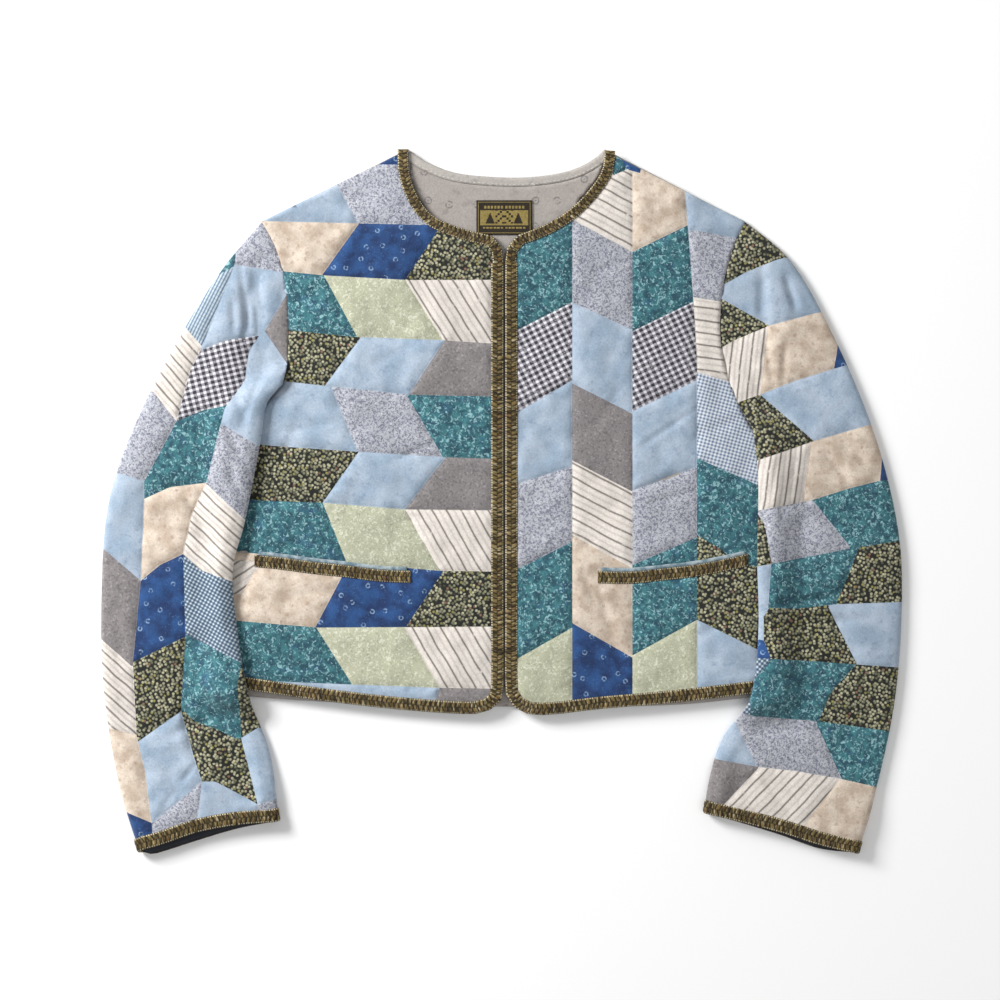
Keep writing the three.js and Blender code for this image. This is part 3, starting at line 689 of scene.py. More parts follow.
def cloth_mesh(name, points, faces, material_of, materials, plan, grains):
    """A mesh in metres whose `cloth` attribute runs along each patch's own grain, in mm."""
    mesh = bpy.data.meshes.new(name)
    place = np.column_stack([points[:, 0] + ORIGIN[0], points[:, 1] + ORIGIN[1], points[:, 2]])
    mesh.from_pydata((place * MM).tolist(), [], [list(map(int, f)) for f in faces])
    for material in materials:
        mesh.materials.append(material)
    mesh.polygons.foreach_set("material_index", np.asarray(material_of, np.int32))
    mesh.polygons.foreach_set("use_smooth", np.ones(len(faces), bool))
    corner = np.empty(len(mesh.loops), np.int32)
    mesh.loops.foreach_get("vertex_index", corner)
    size = np.empty(len(mesh.polygons), np.int32)
    mesh.polygons.foreach_get("loop_total", size)
    turn, du, dv, tint = np.repeat(np.asarray(grains, float), size, axis=0).T
    x, y = plan[corner].T
    cloth = np.stack([x * np.cos(turn) + y * np.sin(turn) + du,
                      y * np.cos(turn) - x * np.sin(turn) + dv, tint], 1)
    layer = mesh.attributes.new("cloth", "FLOAT_VECTOR", "CORNER")
    layer.data.foreach_set("vector", cloth.astype(np.float32).ravel())
    closed = bmesh.new()
    closed.from_mesh(mesh)
    bmesh.ops.recalc_face_normals(closed, faces=closed.faces)
    closed.to_mesh(mesh)
    closed.free()
    mesh.update()
    piece = bpy.data.objects.new(name, mesh)
    bpy.context.scene.collection.objects.link(piece)
    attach(piece, "root")
    return piece


PLAIN = (0.0, 0.0, 0.0, 0.5)
UNMOVED = (0.0, 0.0, 0.0, 0.0)  # for a braid, whose strands follow its own line


def plain_mesh(name, points, faces, material, plan, cut=PLAIN):
    """A mesh in one cloth, which is cut the same way all over."""
    return cloth_mesh(name, points, faces, np.zeros(len(faces), int), [cloth(material)], plan,
                      np.tile(cut, (len(faces), 1)))


def dress(layout, middle):
    """The cloths of a layout, and for each face the place of its cloth, from 1, and its grain."""
    kinds, index = np.unique(patch_of(layout, middle), return_inverse=True)
    looks = [patch_look(layout, k) for k in kinds]
    names = sorted({name for name, _ in looks})
    material = np.array([names.index(name) + 1 for name, _ in looks])[index]
    return names, material, grain(kinds, np.array([turn for _, turn in looks]))[index]


def slab(name, outline, top, low, skins, layout=None, outer="top", holes=(), step=GRID_STEP):
    """A sheet between two heights. skins = (outer cloth if there is no layout, inner cloth)."""
    seams = seam_lines(layout, outline) if layout else []
    flat, tris = triangulate(outline, seams, holes=holes, step=step)
    if layout:
        names, outer_material, outer_grain = dress(layout, flat[tris].mean(1))
    else:
        names, outer_material = [skins[0]], np.ones(len(tris), int)
        outer_grain = np.tile(PLAIN, (len(tris), 1))
    inner_material = np.zeros(len(tris), int)
    inner_grain = np.tile(PLAIN, (len(tris), 1))
    rim = boundary(tris)
    n = len(flat)
    points = np.vstack([np.column_stack([flat, top(flat, seams)]),
                        np.column_stack([flat, low(flat, seams)])])
    faces = [*tris, *(tris[:, ::-1] + n), *([b, a, a + n, b + n] for a, b in rim)]
    way = 1 if outer == "top" else -1  # the upper skin comes first
    owner = rim_owner(tris, rim)
    material_of = [*[outer_material, inner_material][::way], outer_material[owner]]
    grains = [*[outer_grain, inner_grain][::way], outer_grain[owner]]
    materials = [cloth(k) for k in (skins[1], *names)]
    return cloth_mesh(name, points, faces, np.concatenate(material_of), materials,
                      np.vstack([flat, flat]), np.vstack(grains))


# -------------------- cloths


def rgb(r, g, b):
    """A colour from its 0-255 values as seen on a screen."""
    c = np.array([r, g, b]) / 255
    return (*np.where(c <= 0.04045, c / 12.92, ((c + 0.055) / 1.055) ** 2.4), 1.0)


SHADE = 0.84  # how much darker all the cloth is dyed than the colours below
THREAD_PITCH = 0.9


class Cloth:
    """One material, built node by node from the cloth coordinates in mm."""

    def __init__(self, name, roughness, sheen):
        self.material = bpy.data.materials.new(name)
        self.material.use_nodes = True
        self.tree = self.material.node_tree
        self.shader = self.tree.nodes["Principled BSDF"]
        self.shader.inputs["Roughness"].default_value = roughness
        self.shader.inputs["Sheen Weight"].default_value = sheen
        self.shader.inputs["Sheen Roughness"].default_value = 0.6
        self.shader.inputs["Specular IOR Level"].default_value = 0.25
        self.at = self.add("Attribute", attribute_name="cloth").outputs["Vector"]
        split = self.add("SeparateXYZ", {0: self.at})
        self.u, self.v, self.tint = split.outputs

    def add(self, kind, sockets=None, **settings):
        node = self.tree.nodes.new("ShaderNode" + kind)
        for key, value in settings.items():
            setattr(node, key, value)
        for key, value in (sockets or {}).items():
            if isinstance(value, bpy.types.NodeSocket):
                self.tree.links.new(value, node.inputs[key])
            else:
                node.inputs[key].default_value = value
        return node

    def math(self, op, *values):
        return self.add("Math", dict(enumerate(values)), operation=op).outputs[0]

    def step(self, value, low, high):
        """0 below low and 1 above high, or the other way about where high is the smaller."""
        flip = high < low
        ends = (1.0, 0.0) if flip else (0.0, 1.0)
        sockets = {0: value, 1: min(low, high), 2: max(low, high), 3: ends[0], 4: ends[1]}
        return self.add("MapRange", sockets, interpolation_type="SMOOTHSTEP").outputs[0]

    def mix(self, share, a, b, mode="MIX"):
        node = self.add("Mix", {0: share, 6: a, 7: b}, data_type="RGBA", blend_type=mode)
        return node.outputs[2]

    def noise(self, size, detail=2.0, rough=0.5, swirl=0.0, seed=0.0):
        sockets = {"Vector": self.at, "W": seed, "Scale": 1 / size, "Detail": detail,
                   "Roughness": rough, "Distortion": swirl}
        return self.add("TexNoise", sockets, noise_dimensions="4D").outputs[0]

    def cells(self, size, spread=1.0):
        sockets = {"Vector": self.at, "Scale": 1 / size, "Randomness": spread}
        return self.add("TexVoronoi", sockets, voronoi_dimensions="2D")

    def lines(self, coordinate, pitch, width, soft=0.35):
        """1 on evenly spaced lines and 0 between them."""
        place = self.math("SUBTRACT", self.math("FRACT", self.math("DIVIDE", coordinate, pitch)), 0.5)
        off = self.math("MULTIPLY", self.math("ABSOLUTE", place), pitch)
        return self.step(off, width / 2 + soft, width / 2 - soft)

    def both(self, a, b):
        return self.math("MULTIPLY", a, b)

    def dab(self, base, colour, share, edge, *noise, **more):
        """Lays a colour on the base where a noise rises through the edge's two values."""
        return self.mix(self.both(self.step(self.noise(*noise, **more), *edge), share), base, colour)

    def finish(self, colour, tint, grime=0.1):
        """Adds the patch's own tint, soft wear, the weave and its bump."""
        patch = self.math("MULTIPLY_ADD", self.tint, tint, 1 - tint / 2)
        wear = self.math("MULTIPLY_ADD", self.noise(26, 3.0, 0.6, seed=9.1), grime, 1 - grime / 2)
        grit = self.math("MULTIPLY_ADD", self.noise(1.3, 1.0, seed=4.2), 0.5, 0.75)
        bright = self.both(self.both(self.both(patch, wear), grit), SHADE)
        shade = self.add("CombineXYZ", {0: bright, 1: bright, 2: bright}).outputs[0]
        colour = self.mix(1.0, colour, shade, "MULTIPLY")
        self.tree.links.new(colour, self.shader.inputs["Base Color"])
        warp, weft = (self.math("SINE", self.math("MULTIPLY", along, 2 * np.pi / THREAD_PITCH))
                      for along in (self.u, self.v))
        height = self.math("MULTIPLY_ADD", self.both(warp, weft), 0.3, self.noise(2.2, 2.0, seed=2.0))
        sockets = {"Strength": 0.45, "Distance": 0.0006, "Height": height}
        bump = self.add("Bump", sockets)
        self.tree.links.new(bump.outputs[0], self.shader.inputs["Normal"])
        return self.material


def light_blue(c):
    base = c.mix(c.step(c.noise(24, 3.0), 0.35, 0.65), rgb(154, 174, 194), rgb(180, 195, 212))
    base = c.dab(base, rgb(128, 148, 174), 0.45, (0.54, 0.7), 6, 3.0, seed=3.0)
    return c.dab(base, rgb(196, 210, 226), 0.3, (0.6, 0.68), 3.0, 3.0, 0.7, 2.0, 6.5)


def speckle(c):
    ground = c.mix(c.noise(12), rgb(178, 183, 192), rgb(198, 198, 206))
    ground = c.dab(ground, rgb(114, 117, 134), 0.85, (0.475, 0.56), 2.1, 3.0, 0.7, 0.8)
    ground = c.dab(ground, rgb(80, 83, 98), 0.75, (0.6, 0.68), 1.9, 2.0, 0.6, 0.5, 7.7)
    return c.dab(ground, rgb(226, 226, 232), 0.7, (0.6, 0.68), 2.6, 2.0, 0.6, 0.5, 3.1)


def teal(c):
    base = c.mix(c.step(c.noise(6, 3.0, 0.6, 0.5), 0.38, 0.62), rgb(34, 78, 94), rgb(62, 122, 130))
    base = c.dab(base, rgb(44, 84, 122), 0.5, (0.56, 0.7), 11, seed=5.0)
    base = c.dab(base, rgb(34, 64, 76), 0.6, (0.56, 0.66), 2.6, 2.0, 0.6, 0.8, 9.0)
    return c.dab(base, rgb(158, 204, 210), 0.78, (0.53, 0.64), 3.1, 2.0, 0.6, 1.2, 7.0)


def sage(c):
    base = c.mix(c.noise(14), rgb(176, 180, 152), rgb(200, 200, 176))
    base = c.dab(base, rgb(230, 230, 210), 0.7, (0.53, 0.62), 3.4, 2.0, 0.5, 1.5)
    return c.dab(base, rgb(152, 160, 130), 0.6, (0.58, 0.68), 2.6, 1.0, 0.5, 1.0, 6.0)


def striped(c, pitch):
    """Strong lines with a fainter one between each two, and a slight wave as woven."""
    across = c.math("MULTIPLY_ADD", c.math("SUBTRACT", c.noise(26, 1.0, seed=1.2), 0.5), 3.0, c.v)
    base = c.mix(c.noise(9), rgb(222, 214, 206), rgb(240, 233, 224))
    faint = c.both(c.lines(across, pitch / 4, 0.8), c.step(c.noise(2.5, 2.0), 0.4, 0.62))
    base = c.mix(c.both(faint, 0.45), base, rgb(205, 194, 188))
    half = c.math("ADD", across, pitch / 2)
    base = c.mix(c.both(c.lines(half, pitch, 1.5), 0.5), base, rgb(186, 176, 170))
    strong = c.both(c.lines(across, pitch, 1.6), c.step(c.noise(5, 2.0, seed=3.3), 0.2, 0.42))
    return c.mix(c.both(strong, 0.9), base, rgb(120, 112, 106))


def stripes(c):
    return striped(c, 11.0)


def stripes_close(c):
    return striped(c, 9.0)


def royal(c):
    base = c.mix(c.step(c.noise(14, 3.0), 0.36, 0.64), rgb(18, 48, 96), rgb(36, 80, 138))
    far = c.cells(17.0, 0.7).outputs[0]
    rings = c.step(c.math("ABSOLUTE", c.math("SUBTRACT", far, 0.1)), 0.05, 0.015)
    shown = c.both(rings, c.step(c.noise(2.2, 2.0, seed=4.0), 0.4, 0.55))
    base = c.mix(c.both(shown, 0.62), base, rgb(166, 196, 226))
    return c.dab(base, rgb(96, 136, 184), 0.5, (0.57, 0.68), 2.4, 3.0, 0.7, 2.0, 8.0)


def cream(c):
    base = c.mix(c.step(c.noise(13, 3.0), 0.35, 0.68), rgb(226, 211, 194), rgb(194, 175, 156))
    motif = c.both(c.step(c.cells(10.0, 0.7).outputs[0], 0.26, 0.08), c.step(c.noise(2.6), 0.42, 0.56))
    base = c.mix(c.both(motif, 0.55), base, rgb(170, 142, 126))
    return c.dab(base, rgb(186, 164, 146), 0.4, (0.58, 0.7), 3.2, seed=7.0)


def floral(c):
    pebbles = c.cells(2.9, 0.9)
    own = c.add("SeparateColor", {0: pebbles.outputs[1]}).outputs
    tone = c.mix(own[0], rgb(96, 98, 74), rgb(196, 192, 160))
    tone = c.mix(c.step(own[1], 0.9, 0.93), tone, rgb(150, 144, 84))
    tone = c.mix(c.step(own[2], 0.97, 0.98), tone, rgb(136, 100, 82))
    shape = c.both(c.step(pebbles.outputs[0], 0.55, 0.24), c.step(own[1], 0.04, 0.12))
    return c.mix(shape, rgb(24, 27, 20), tone)


def taupe(c):
    base = c.mix(c.noise(18, 3.0), rgb(120, 115, 116), rgb(152, 146, 146))
    base = c.dab(base, rgb(92, 88, 88), 0.55, (0.52, 0.64), 2.3, seed=2.0)
    return c.dab(base, rgb(180, 174, 172), 0.4, (0.56, 0.66), 2.6, seed=5.0)


def checked(c, wide, high, share, none, one, two):
    """Woven checks: two sets of bars, darker where they cross."""
    warp, weft = c.lines(c.u, wide, wide * share), c.lines(c.v, high, high * share)
    base = c.mix(c.math("MAXIMUM", warp, weft), none, one)
    return c.mix(c.both(warp, weft), base, two)


def gingham(c):
    colours = rgb(232, 230, 236), rgb(150, 147, 154), rgb(44, 42, 54)
    checks = checked(c, 6.0, 4.9, 0.56, *colours)
    return c.dab(checks, rgb(224, 220, 226), 0.4, (0.55, 0.7), 2.0, seed=3.0)


def micro(c):
    return checked(c, 3.3, 3.0, 0.5, rgb(230, 235, 240), rgb(180, 192, 208), rgb(104, 120, 148))


def micro_dark(c):
    return checked(c, 3.4, 3.0, 0.56, rgb(206, 218, 226), rgb(112, 132, 150), rgb(60, 80, 104))


def pinstripe(c):
    base = c.mix(c.noise(9), rgb(184, 200, 212), rgb(200, 212, 222))
    base = c.mix(c.both(c.lines(c.u, 3.8, 1.3), 0.35), base, rgb(120, 146, 164))
    return c.mix(c.both(c.lines(c.v, 2.8, 1.3), 0.85), base, rgb(84, 108, 134))


def printed_lining(c):
    """Plain cloth with a few small rings, in staggered rows."""
    base = c.mix(c.noise(20, 3.0), rgb(160, 153, 147), rgb(182, 174, 168))
    far = c.cells(24.0, 0.3).outputs[0]
    rings = c.step(c.math("ABSOLUTE", c.math("SUBTRACT", far, 0.12)), 0.05, 0.015)
    petals = c.both(c.math("MAXIMUM", rings, c.step(far, 0.05, 0.02)), c.step(c.noise(2.2), 0.35, 0.55))
    base = c.mix(c.both(petals, 0.7), base, rgb(108, 103, 104))
    return c.dab(base, rgb(120, 114, 112), 0.35, (0.56, 0.72), 8, 3.0, seed=6.0)


def facing(c):
    base = c.mix(c.noise(14), rgb(178, 172, 166), rgb(194, 188, 181))
    return c.dab(base, rgb(140, 134, 130), 0.4, (0.58, 0.7), 5, seed=2.0)


def pocket_cloth(c):
    return c.mix(c.noise(10), rgb(128, 124, 118), rgb(150, 145, 138))


def welt(c):
    return c.mix(c.step(c.noise(7, 2.0), 0.38, 0.62), rgb(104, 130, 142), rgb(168, 182, 188))


def dark_lining(c):
    return c.mix(c.noise(12), rgb(26, 28, 36), rgb(44, 46, 56))


def label_dark(c):
    return c.mix(c.noise(1.2), rgb(24, 18, 12), rgb(52, 42, 28))


def label_gold(c):
    return c.mix(c.noise(1.5), rgb(104, 88, 40), rgb(176, 156, 90))


def thread(c):
    return c.mix(c.noise(1.0), rgb(206, 200, 192), rgb(226, 220, 212))


PITCH = 4.4  # length of one plait along the braid
SLANT = 0.42  # how many plaits a strand leans over half the braid's width


def edge_braid(c):
    """Two rows of slanted strands that meet in the middle. u runs along in mm, v from -1 to 1."""
    side = c.step(c.v, -0.001, 0.001)
    lean = c.math("MULTIPLY", c.math("ABSOLUTE", c.v), SLANT)
    along = c.math("ADD", c.math("DIVIDE", c.u, PITCH), lean)
    along = c.math("MULTIPLY_ADD", side, 0.5, along)
    strand = c.math("ADD", c.math("FLOOR", along), c.math("MULTIPLY", side, 0.37))
    hue = c.add("TexWhiteNoise", {"W": strand}, noise_dimensions="1D").outputs[0]
    within = c.math("ABSOLUTE", c.math("SUBTRACT", c.math("FRACT", along), 0.5))
    far = c.math("ABSOLUTE", c.v)
    colour = c.mix(hue, rgb(84, 68, 32), rgb(128, 108, 62))
    rusty = c.step(c.math("FRACT", c.math("MULTIPLY", hue, 7.3)), 0.8, 0.92)
    colour = c.mix(c.both(rusty, 0.5), colour, rgb(108, 74, 38))
    colour = c.dab(colour, rgb(162, 146, 102), 0.6, (0.5, 0.62), 1.9, 2.0, 0.6, 0.6, 6.0)
    colour = c.dab(colour, rgb(214, 202, 168), 0.6, (0.58, 0.68), 1.2, 1.0, seed=3.0)
    colour = c.dab(colour, rgb(38, 29, 12), 0.8, (0.48, 0.6), 1.7, seed=11.0)
    # Painted shade: the gaps between strands, where the relief dips, are dyed near black.
    colour = c.mix(c.both(c.step(within, 0.24, 0.42), 0.85), colour, rgb(24, 18, 6))
    bead = c.lines(c.u, PITCH / 2, PITCH / 5)
    bead = c.both(bead, c.both(c.step(far, 0.74, 0.82), c.step(far, 0.99, 0.92)))
    bead = c.both(bead, c.step(c.noise(5, 2.0, seed=8.0), 0.35, 0.5))
    colour = c.mix(c.both(bead, 0.9), colour, rgb(222, 212, 182))
    # Painted shade: the groove down the braid's middle, between its two rows, is dyed dark.
    return c.mix(c.both(c.step(far, 0.14, 0.03), 0.6), colour, rgb(32, 24, 10))


def edge_braid_brown(c):
    return c.mix(0.45, edge_braid(c), rgb(62, 46, 30))


COTTONS = (
    light_blue, speckle, teal, sage, stripes, stripes_close, royal, cream, floral, taupe, gingham,
    micro, micro_dark, pinstripe, printed_lining, facing, pocket_cloth, welt, dark_lining, thread,
)
# Braid and label thread, with their roughness.
SHINY = {edge_braid: 0.62, edge_braid_brown: 0.66, label_dark: 0.6, label_gold: 0.5}
ROUGHNESS, SHEEN, TINT = 0.92, 0.2, 0.09  # of the cottons
dyes = {dye.__name__: (dye, ROUGHNESS, SHEEN, TINT) for dye in COTTONS}
dyes.update({dye.__name__: (dye, roughness, 0.0, 0.0) for dye, roughness in SHINY.items()})
made_cloths = {}


def cloth(name):
    """The material of that name, made the first time it is asked for."""
    if name not in made_cloths:
        dye, roughness, sheen, tint = dyes[name]
        c = Cloth(name, roughness, sheen)
        made_cloths[name] = c.finish(dye(c), tint)
    return made_cloths[name]


# -------------------- the body

PUFF = 1.0  # how far a patch swells above its seams
SEAM_DEPTH = 0.8  # how far the seam itself is drawn in
EDGE_ROLL = 1.6  # how far in from its edge a panel rounds over


def relief(p, seams, seed):
    """Small height changes: swelling between seams, sunken seams with puckers, and rumples."""
    d = nearest(seams, p)
    swell = PUFF * smooth(0, 9, d) - SEAM_DEPTH * np.exp(-((d / 1.1) ** 2))
    pucker = 0.5 * rumple(p, 7, seed + 5.5) * np.exp(-((d / 7) ** 2))
    broad = 1.5 * rumple(p, 46, seed) + 1.2 * rumple(p, 19, seed + 2.5)
    return swell + pucker + broad + 0.5 * rumple(p, 9, seed + 7.5)


def rolled(outline_lines, p, drop=0.9):
    """How far a face drops where the panel rounds over its edge; never above 0."""
    t = np.clip(nearest(outline_lines, p) / EDGE_ROLL, 0, 1)
    return -drop * (1 - np.sqrt(1 - (1 - t) ** 2))


def under_braid(p, lines):
    """0 where a braid is sewn on, so that the cloth lies still below it, and 1 beyond."""
    return smooth(BRAID_WIDTH - 1, BRAID_WIDTH + 4, nearest(lines, p))


def make_back():
    outline = back_outline
    lines = [closed_line(outline)]

    def top(p, seams):
        return back_top(p) + rolled(lines, p)

    def low(p, seams):
        lift = 0.5 * np.exp(-((nearest(seams, p) / 1.3) ** 2)) * under_braid(p, [hem, back_neck])
        return back_low(p) + lift + 0.02 - rolled(lines, p)

    piece = slab("quilt_back", outline, top, low, ("", "printed_lining"), LAYOUTS["back"], "low",
                 step=3.6)
    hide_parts("back_panel")
    return piece


def pocket_line(side, steps=60):
    return run(POCKET[side], steps)


def pocket_inside(side):
    """The stretch of a pocket's mouth that its bag hangs from."""
    return pocket_line(side, 20)[2:-4]


def raised(line, dy):
    return line + np.array([0, dy])


FRONT_SEED = {"right": 1.0, "left": 11.0}


def make_front(side):
    outline = front_outline[side]
    lines = [closed_line(outline)]
    mouth = pocket_line(side)
    slit_line = mouth[6:-6]
    slit = np.vstack([raised(slit_line, GAP), raised(slit_line, GAP + POCKET_SLIT)[::-1]])
    still = [front_neck[side], front_edge[side]]
    band = [raised(mouth, -BRAID_WIDTH / 2)]

    def top(p, seams):
        loose = under_braid(p, still) * smooth(BRAID_WIDTH / 2, BRAID_WIDTH / 2 + 5, nearest(band, p))
        shape = relief(p, seams, FRONT_SEED[side]) + CREASE_DEPTH * total(BODY_CREASES, p)
        return front_top(side, p) + loose * shape + rolled(lines, p)

    def low(p, seams):
        return front_low(side, p) - rolled(lines, p, 0.2)

    piece = slab(f"quilt_front_{side}", outline, top, low, ("", "printed_lining"),
                 LAYOUTS[f"front_{side}"], holes=[slit])
    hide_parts(f"front_panel_{side}")
    return piece


def make_pocket(side):
    line = pocket_inside(side)
    floor = raised(line, -POCKET_DEPTH)
    floor[:, 1] = np.maximum(floor[:, 1], POCKET_FLOOR)
    outline = np.vstack([raised(line, POCKET_ABOVE), floor[::-1]])

    def top(p, seams):
        return front_low(side, p) - GAP

    def low(p, seams):
        return top(p, seams) - LINING_THICK

    piece = slab(f"pocket_cloth_{side}", outline, top, low, ("pocket_cloth", "pocket_cloth"), step=6)
    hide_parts(f"pocket_bag_{side}")
    return piece


WELT_WIDTH = 3.6
WELT_TUCK = 0.4  # how much of it lies under the braid
WELT_HEIGHT = 0.8
WELT_RISE = 0.7
WELT_SIDES = 8


def make_welt(side):
    """The thin piping that lies along a pocket's mouth, above its braid."""
    line = raised(pocket_line(side, 80)[2:-2], WELT_WIDTH / 2 - WELT_TUCK)
    top = front_top(side, line) + WELT_RISE
    across = beside(line, 1) - line
    rings = []
    for turn in np.arange(WELT_SIDES) * 2 * np.pi / WELT_SIDES:
        plan = line + across * WELT_WIDTH / 2 * np.cos(turn)
        rings.append(np.column_stack([plan, top + WELT_HEIGHT * np.sin(turn)]))
    n = len(line)
    faces = []
    for k in range(WELT_SIDES):
        j = (k + 1) % WELT_SIDES
        faces += [[k * n + i, k * n + i + 1, j * n + i + 1, j * n + i] for i in range(n - 1)]
    faces += [[k * n + end for k in range(WELT_SIDES)] for end in (0, n - 1)]
    points = np.vstack(rings)
    piece = plain_mesh(f"welt_pocket_{side}", points, faces, "welt", points[:, :2])
    return piece


INWARD = {"right": -1, "left": 1}
neck_middle = back_neck[1:-1]
FACING_HEM = 1.6  # from the facing's edge to its stitches
facing_seam = beside(neck_middle, -FACING_WIDTH + FACING_HEM)


def make_lining():
    """The back lining under the neck opening and the facing above it."""
    hidden = {s: beside(front_neck[s][3:8], -INWARD[s] * 2 * GAP) for s in SIDES}
    outline = np.vstack([
        beside(neck_middle, -FACING_WIDTH - GAP), hidden["left"],
        LINING_END, hidden["right"][::-1],
    ])

    def low(p, seams):
        return back_top(p) + GAP

    def top(p, seams):
        return low(p, seams) + LINING_THICK + 0.25 * rumple(p, 22, 3.0)

    lining = slab("lining_back", outline, top, low, ("printed_lining", "printed_lining"))
    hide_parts("back_lining")
    edge = run(BACK_NECK, 60)[1:-1]
    strip = np.vstack([beside(edge, -GAP), beside(edge, -FACING_WIDTH)[::-1]])

    def facing_top(p, seams):
        sewn = np.exp(-(distance(facing_seam, p) ** 2))
        return low(p, seams) + LINING_THICK + 0.3 - 0.4 * sewn

    strip_piece = slab("facing_neck", strip, facing_top, low, ("facing", "facing"), step=2.0)
    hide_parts("back_neck_facing")
    return lining, strip_piece


# -------------------- sleeves

EDGE_RISE = 1.8  # how far a sleeve's inner edge stands up beyond the rest
LINED_DIP = 0.8  # the deepest a crease goes where the lining lies inside the sleeve
LINING_LENGTH = 46.0  # how far the dark lining is made inside a cuff
FOLD_RINGS = (0.35, 1.2, WALL, 4.0, FOLD)  # rows of points that round a sleeve's edges
CUFF_SLANT = 55.0  # how far up from the cuff the two layers start to part
TOUCH = 0.02  # points this close to a line are on it
SLEEVE_SEED = {"right": 21.0, "left": 31.0}
UNDER_GRAIN = (0, 11, 23, 0)  # the underside is cut elsewhere from the same cloths


def sleeve_top(side, flat, seams, cap, from_folds):
    """The height of a sleeve's upper face, with its creases."""
    low = sleeve_low(side, flat)
    from_cuff = distance(cuff_upper[side], flat)
    from_ends = np.minimum(distance(armhole[side], flat), from_cuff)
    shape = relief(flat, seams, SLEEVE_SEED[side])
    shape += CREASE_DEPTH * total(SLEEVE_CREASES[side], flat)
    shape += EDGE_RISE * np.exp(-(((distance(inner_fold[side], flat) - 10) / 9) ** 2))
    deepest = LINED_DIP + 7 * smooth(LINING_LENGTH, LINING_LENGTH + 20, from_cuff)
    loose = smooth(8, 16, from_cuff) * smooth(-1, 10, from_ends) * smooth(0, 14, from_folds)
    high = low + sleeve_height(side, flat) + loose * np.maximum(shape, -deepest)
    return np.maximum(high, low + 2 * WALL + 0.3) + rolled([cap], flat, 0.8)


def close_ends(flat, rim, on_fold, on_ring, has_inner, rows):
    """Faces that join a sleeve's outer and inner skins at the cuff and the armhole."""
    outer_top, outer_low, inner_top, inner_low = rows
    ends = flat[on_ring]
    end_ids = np.flatnonzero(on_ring)
    faces = []
    for a, b in rim:
        if on_fold[a] and on_fold[b]:
            continue
        if has_inner[a] and has_inner[b]:
            faces.append([outer_top[b], outer_top[a], inner_top[a], inner_top[b]])
            faces.append([outer_low[a], outer_low[b], inner_low[b], inner_low[a]])
        else:
            middle = (flat[a] + flat[b]) / 2
            tip = inner_top[end_ids[np.argmin(np.hypot(*(ends - middle).T))]]
            faces.append([outer_top[b], outer_top[a], tip])
            faces.append([outer_low[a], outer_low[b], tip])
    faces = [[k for j, k in enumerate(f) if k not in f[:j]] for f in faces]
    return [f for f in faces if len(f) > 2]


def make_sleeve(side):
    cap = beside(armhole[side], -INWARD[side] * GAP)
    outer = outer_fold[side]
    inner = inner_fold[side]
    outline = np.vstack([cap, inner[1:], cuff_upper[side][::-1][1:], outer[::-1][1:-1]])
    layout = LAYOUTS[f"sleeve_{side}"]
    seams = seam_lines(layout, outline)
    away = 1 if side == "right" else -1
    rings = []
    for gap in FOLD_RINGS:
        rings.append(subdivide(beside(outer, away * gap), SEAM_STEP))
        rings.append(subdivide(beside(inner, -away * gap), SEAM_STEP))
    flat, tris = triangulate(outline, seams, rings=rings)
    d = nearest([outer, inner], flat)
    low_z = sleeve_low(side, flat)
    high_z = sleeve_top(side, flat, seams, cap, d)
    middle_z = (high_z + low_z) / 2
    round_out = np.sqrt(1 - (1 - np.clip(d / FOLD, 0, 1)) ** 2)
    inset = np.clip((d - WALL) / (FOLD - WALL), 0, 1)
    round_in = np.sqrt(1 - (1 - inset) ** 2)
    half = (high_z - low_z) / 2
    room = np.maximum(half - WALL, 0.1)
    n = len(flat)
    on_fold = d < TOUCH
    on_ring = np.abs(d - WALL) < TOUCH
    has_inner = d > WALL - TOUCH
    drop = np.interp(flat[:, 0], *sorted_columns(cuff_upper[side])) - np.interp(
        flat[:, 0], *sorted_columns(cuff_lower[side]))
    under = flat - np.stack([0 * drop, drop * smooth(CUFF_SLANT, 0, distance(cuff_upper[side], flat))], 1)
    top_id = np.arange(n)
    low_id = np.where(on_fold, top_id, n + np.arange(n))
    in_top_id = 2 * n + np.arange(n)
    in_low_id = np.where(on_ring, in_top_id, 3 * n + np.arange(n))
    points = np.vstack([
        np.column_stack([flat, middle_z + half * round_out]),
        np.column_stack([under, middle_z - half * round_out]),
        np.column_stack([flat, middle_z + room * round_in]),
        np.column_stack([under, middle_z - room * round_in]),
    ])
    inner_tris = tris[has_inner[tris].all(1)]
    faces = [*top_id[tris], *low_id[tris][:, ::-1], *in_top_id[inner_tris][:, ::-1],
             *in_low_id[inner_tris]]
    names, outer_material, grains = dress(layout, flat[tris].mean(1))
    rim_faces = close_ends(flat, boundary(tris), on_fold, on_ring, has_inner,
                           (top_id, low_id, in_top_id, in_low_id))
    faces += rim_faces
    plain = len(inner_tris) * 2 + len(rim_faces)
    material_of = np.concatenate([outer_material, outer_material, np.zeros(plain, int)])
    all_grains = np.vstack([grains, grains + UNDER_GRAIN, np.tile(PLAIN, (plain, 1))])
    used, compact = np.unique(np.concatenate(faces), return_inverse=True)
    sizes = np.cumsum([len(f) for f in faces])[:-1]
    faces = np.split(compact, sizes)
    plan = np.tile(flat, (4, 1))
    piece = cloth_mesh(f"quilt_sleeve_{side}", points[used], faces, material_of,
                       [cloth(k) for k in ("dark_lining", *names)], plan[used], all_grains)
    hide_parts(f"sleeve_{side}")
    return piece


def sorted_columns(line):
    line = line[np.argsort(line[:, 0])]
    return line[:, 0], line[:, 1]


CUFF_POINTS = 46  # across each layer of a cuff
CUFF_BEND_POINTS = 7  # round each of its edges


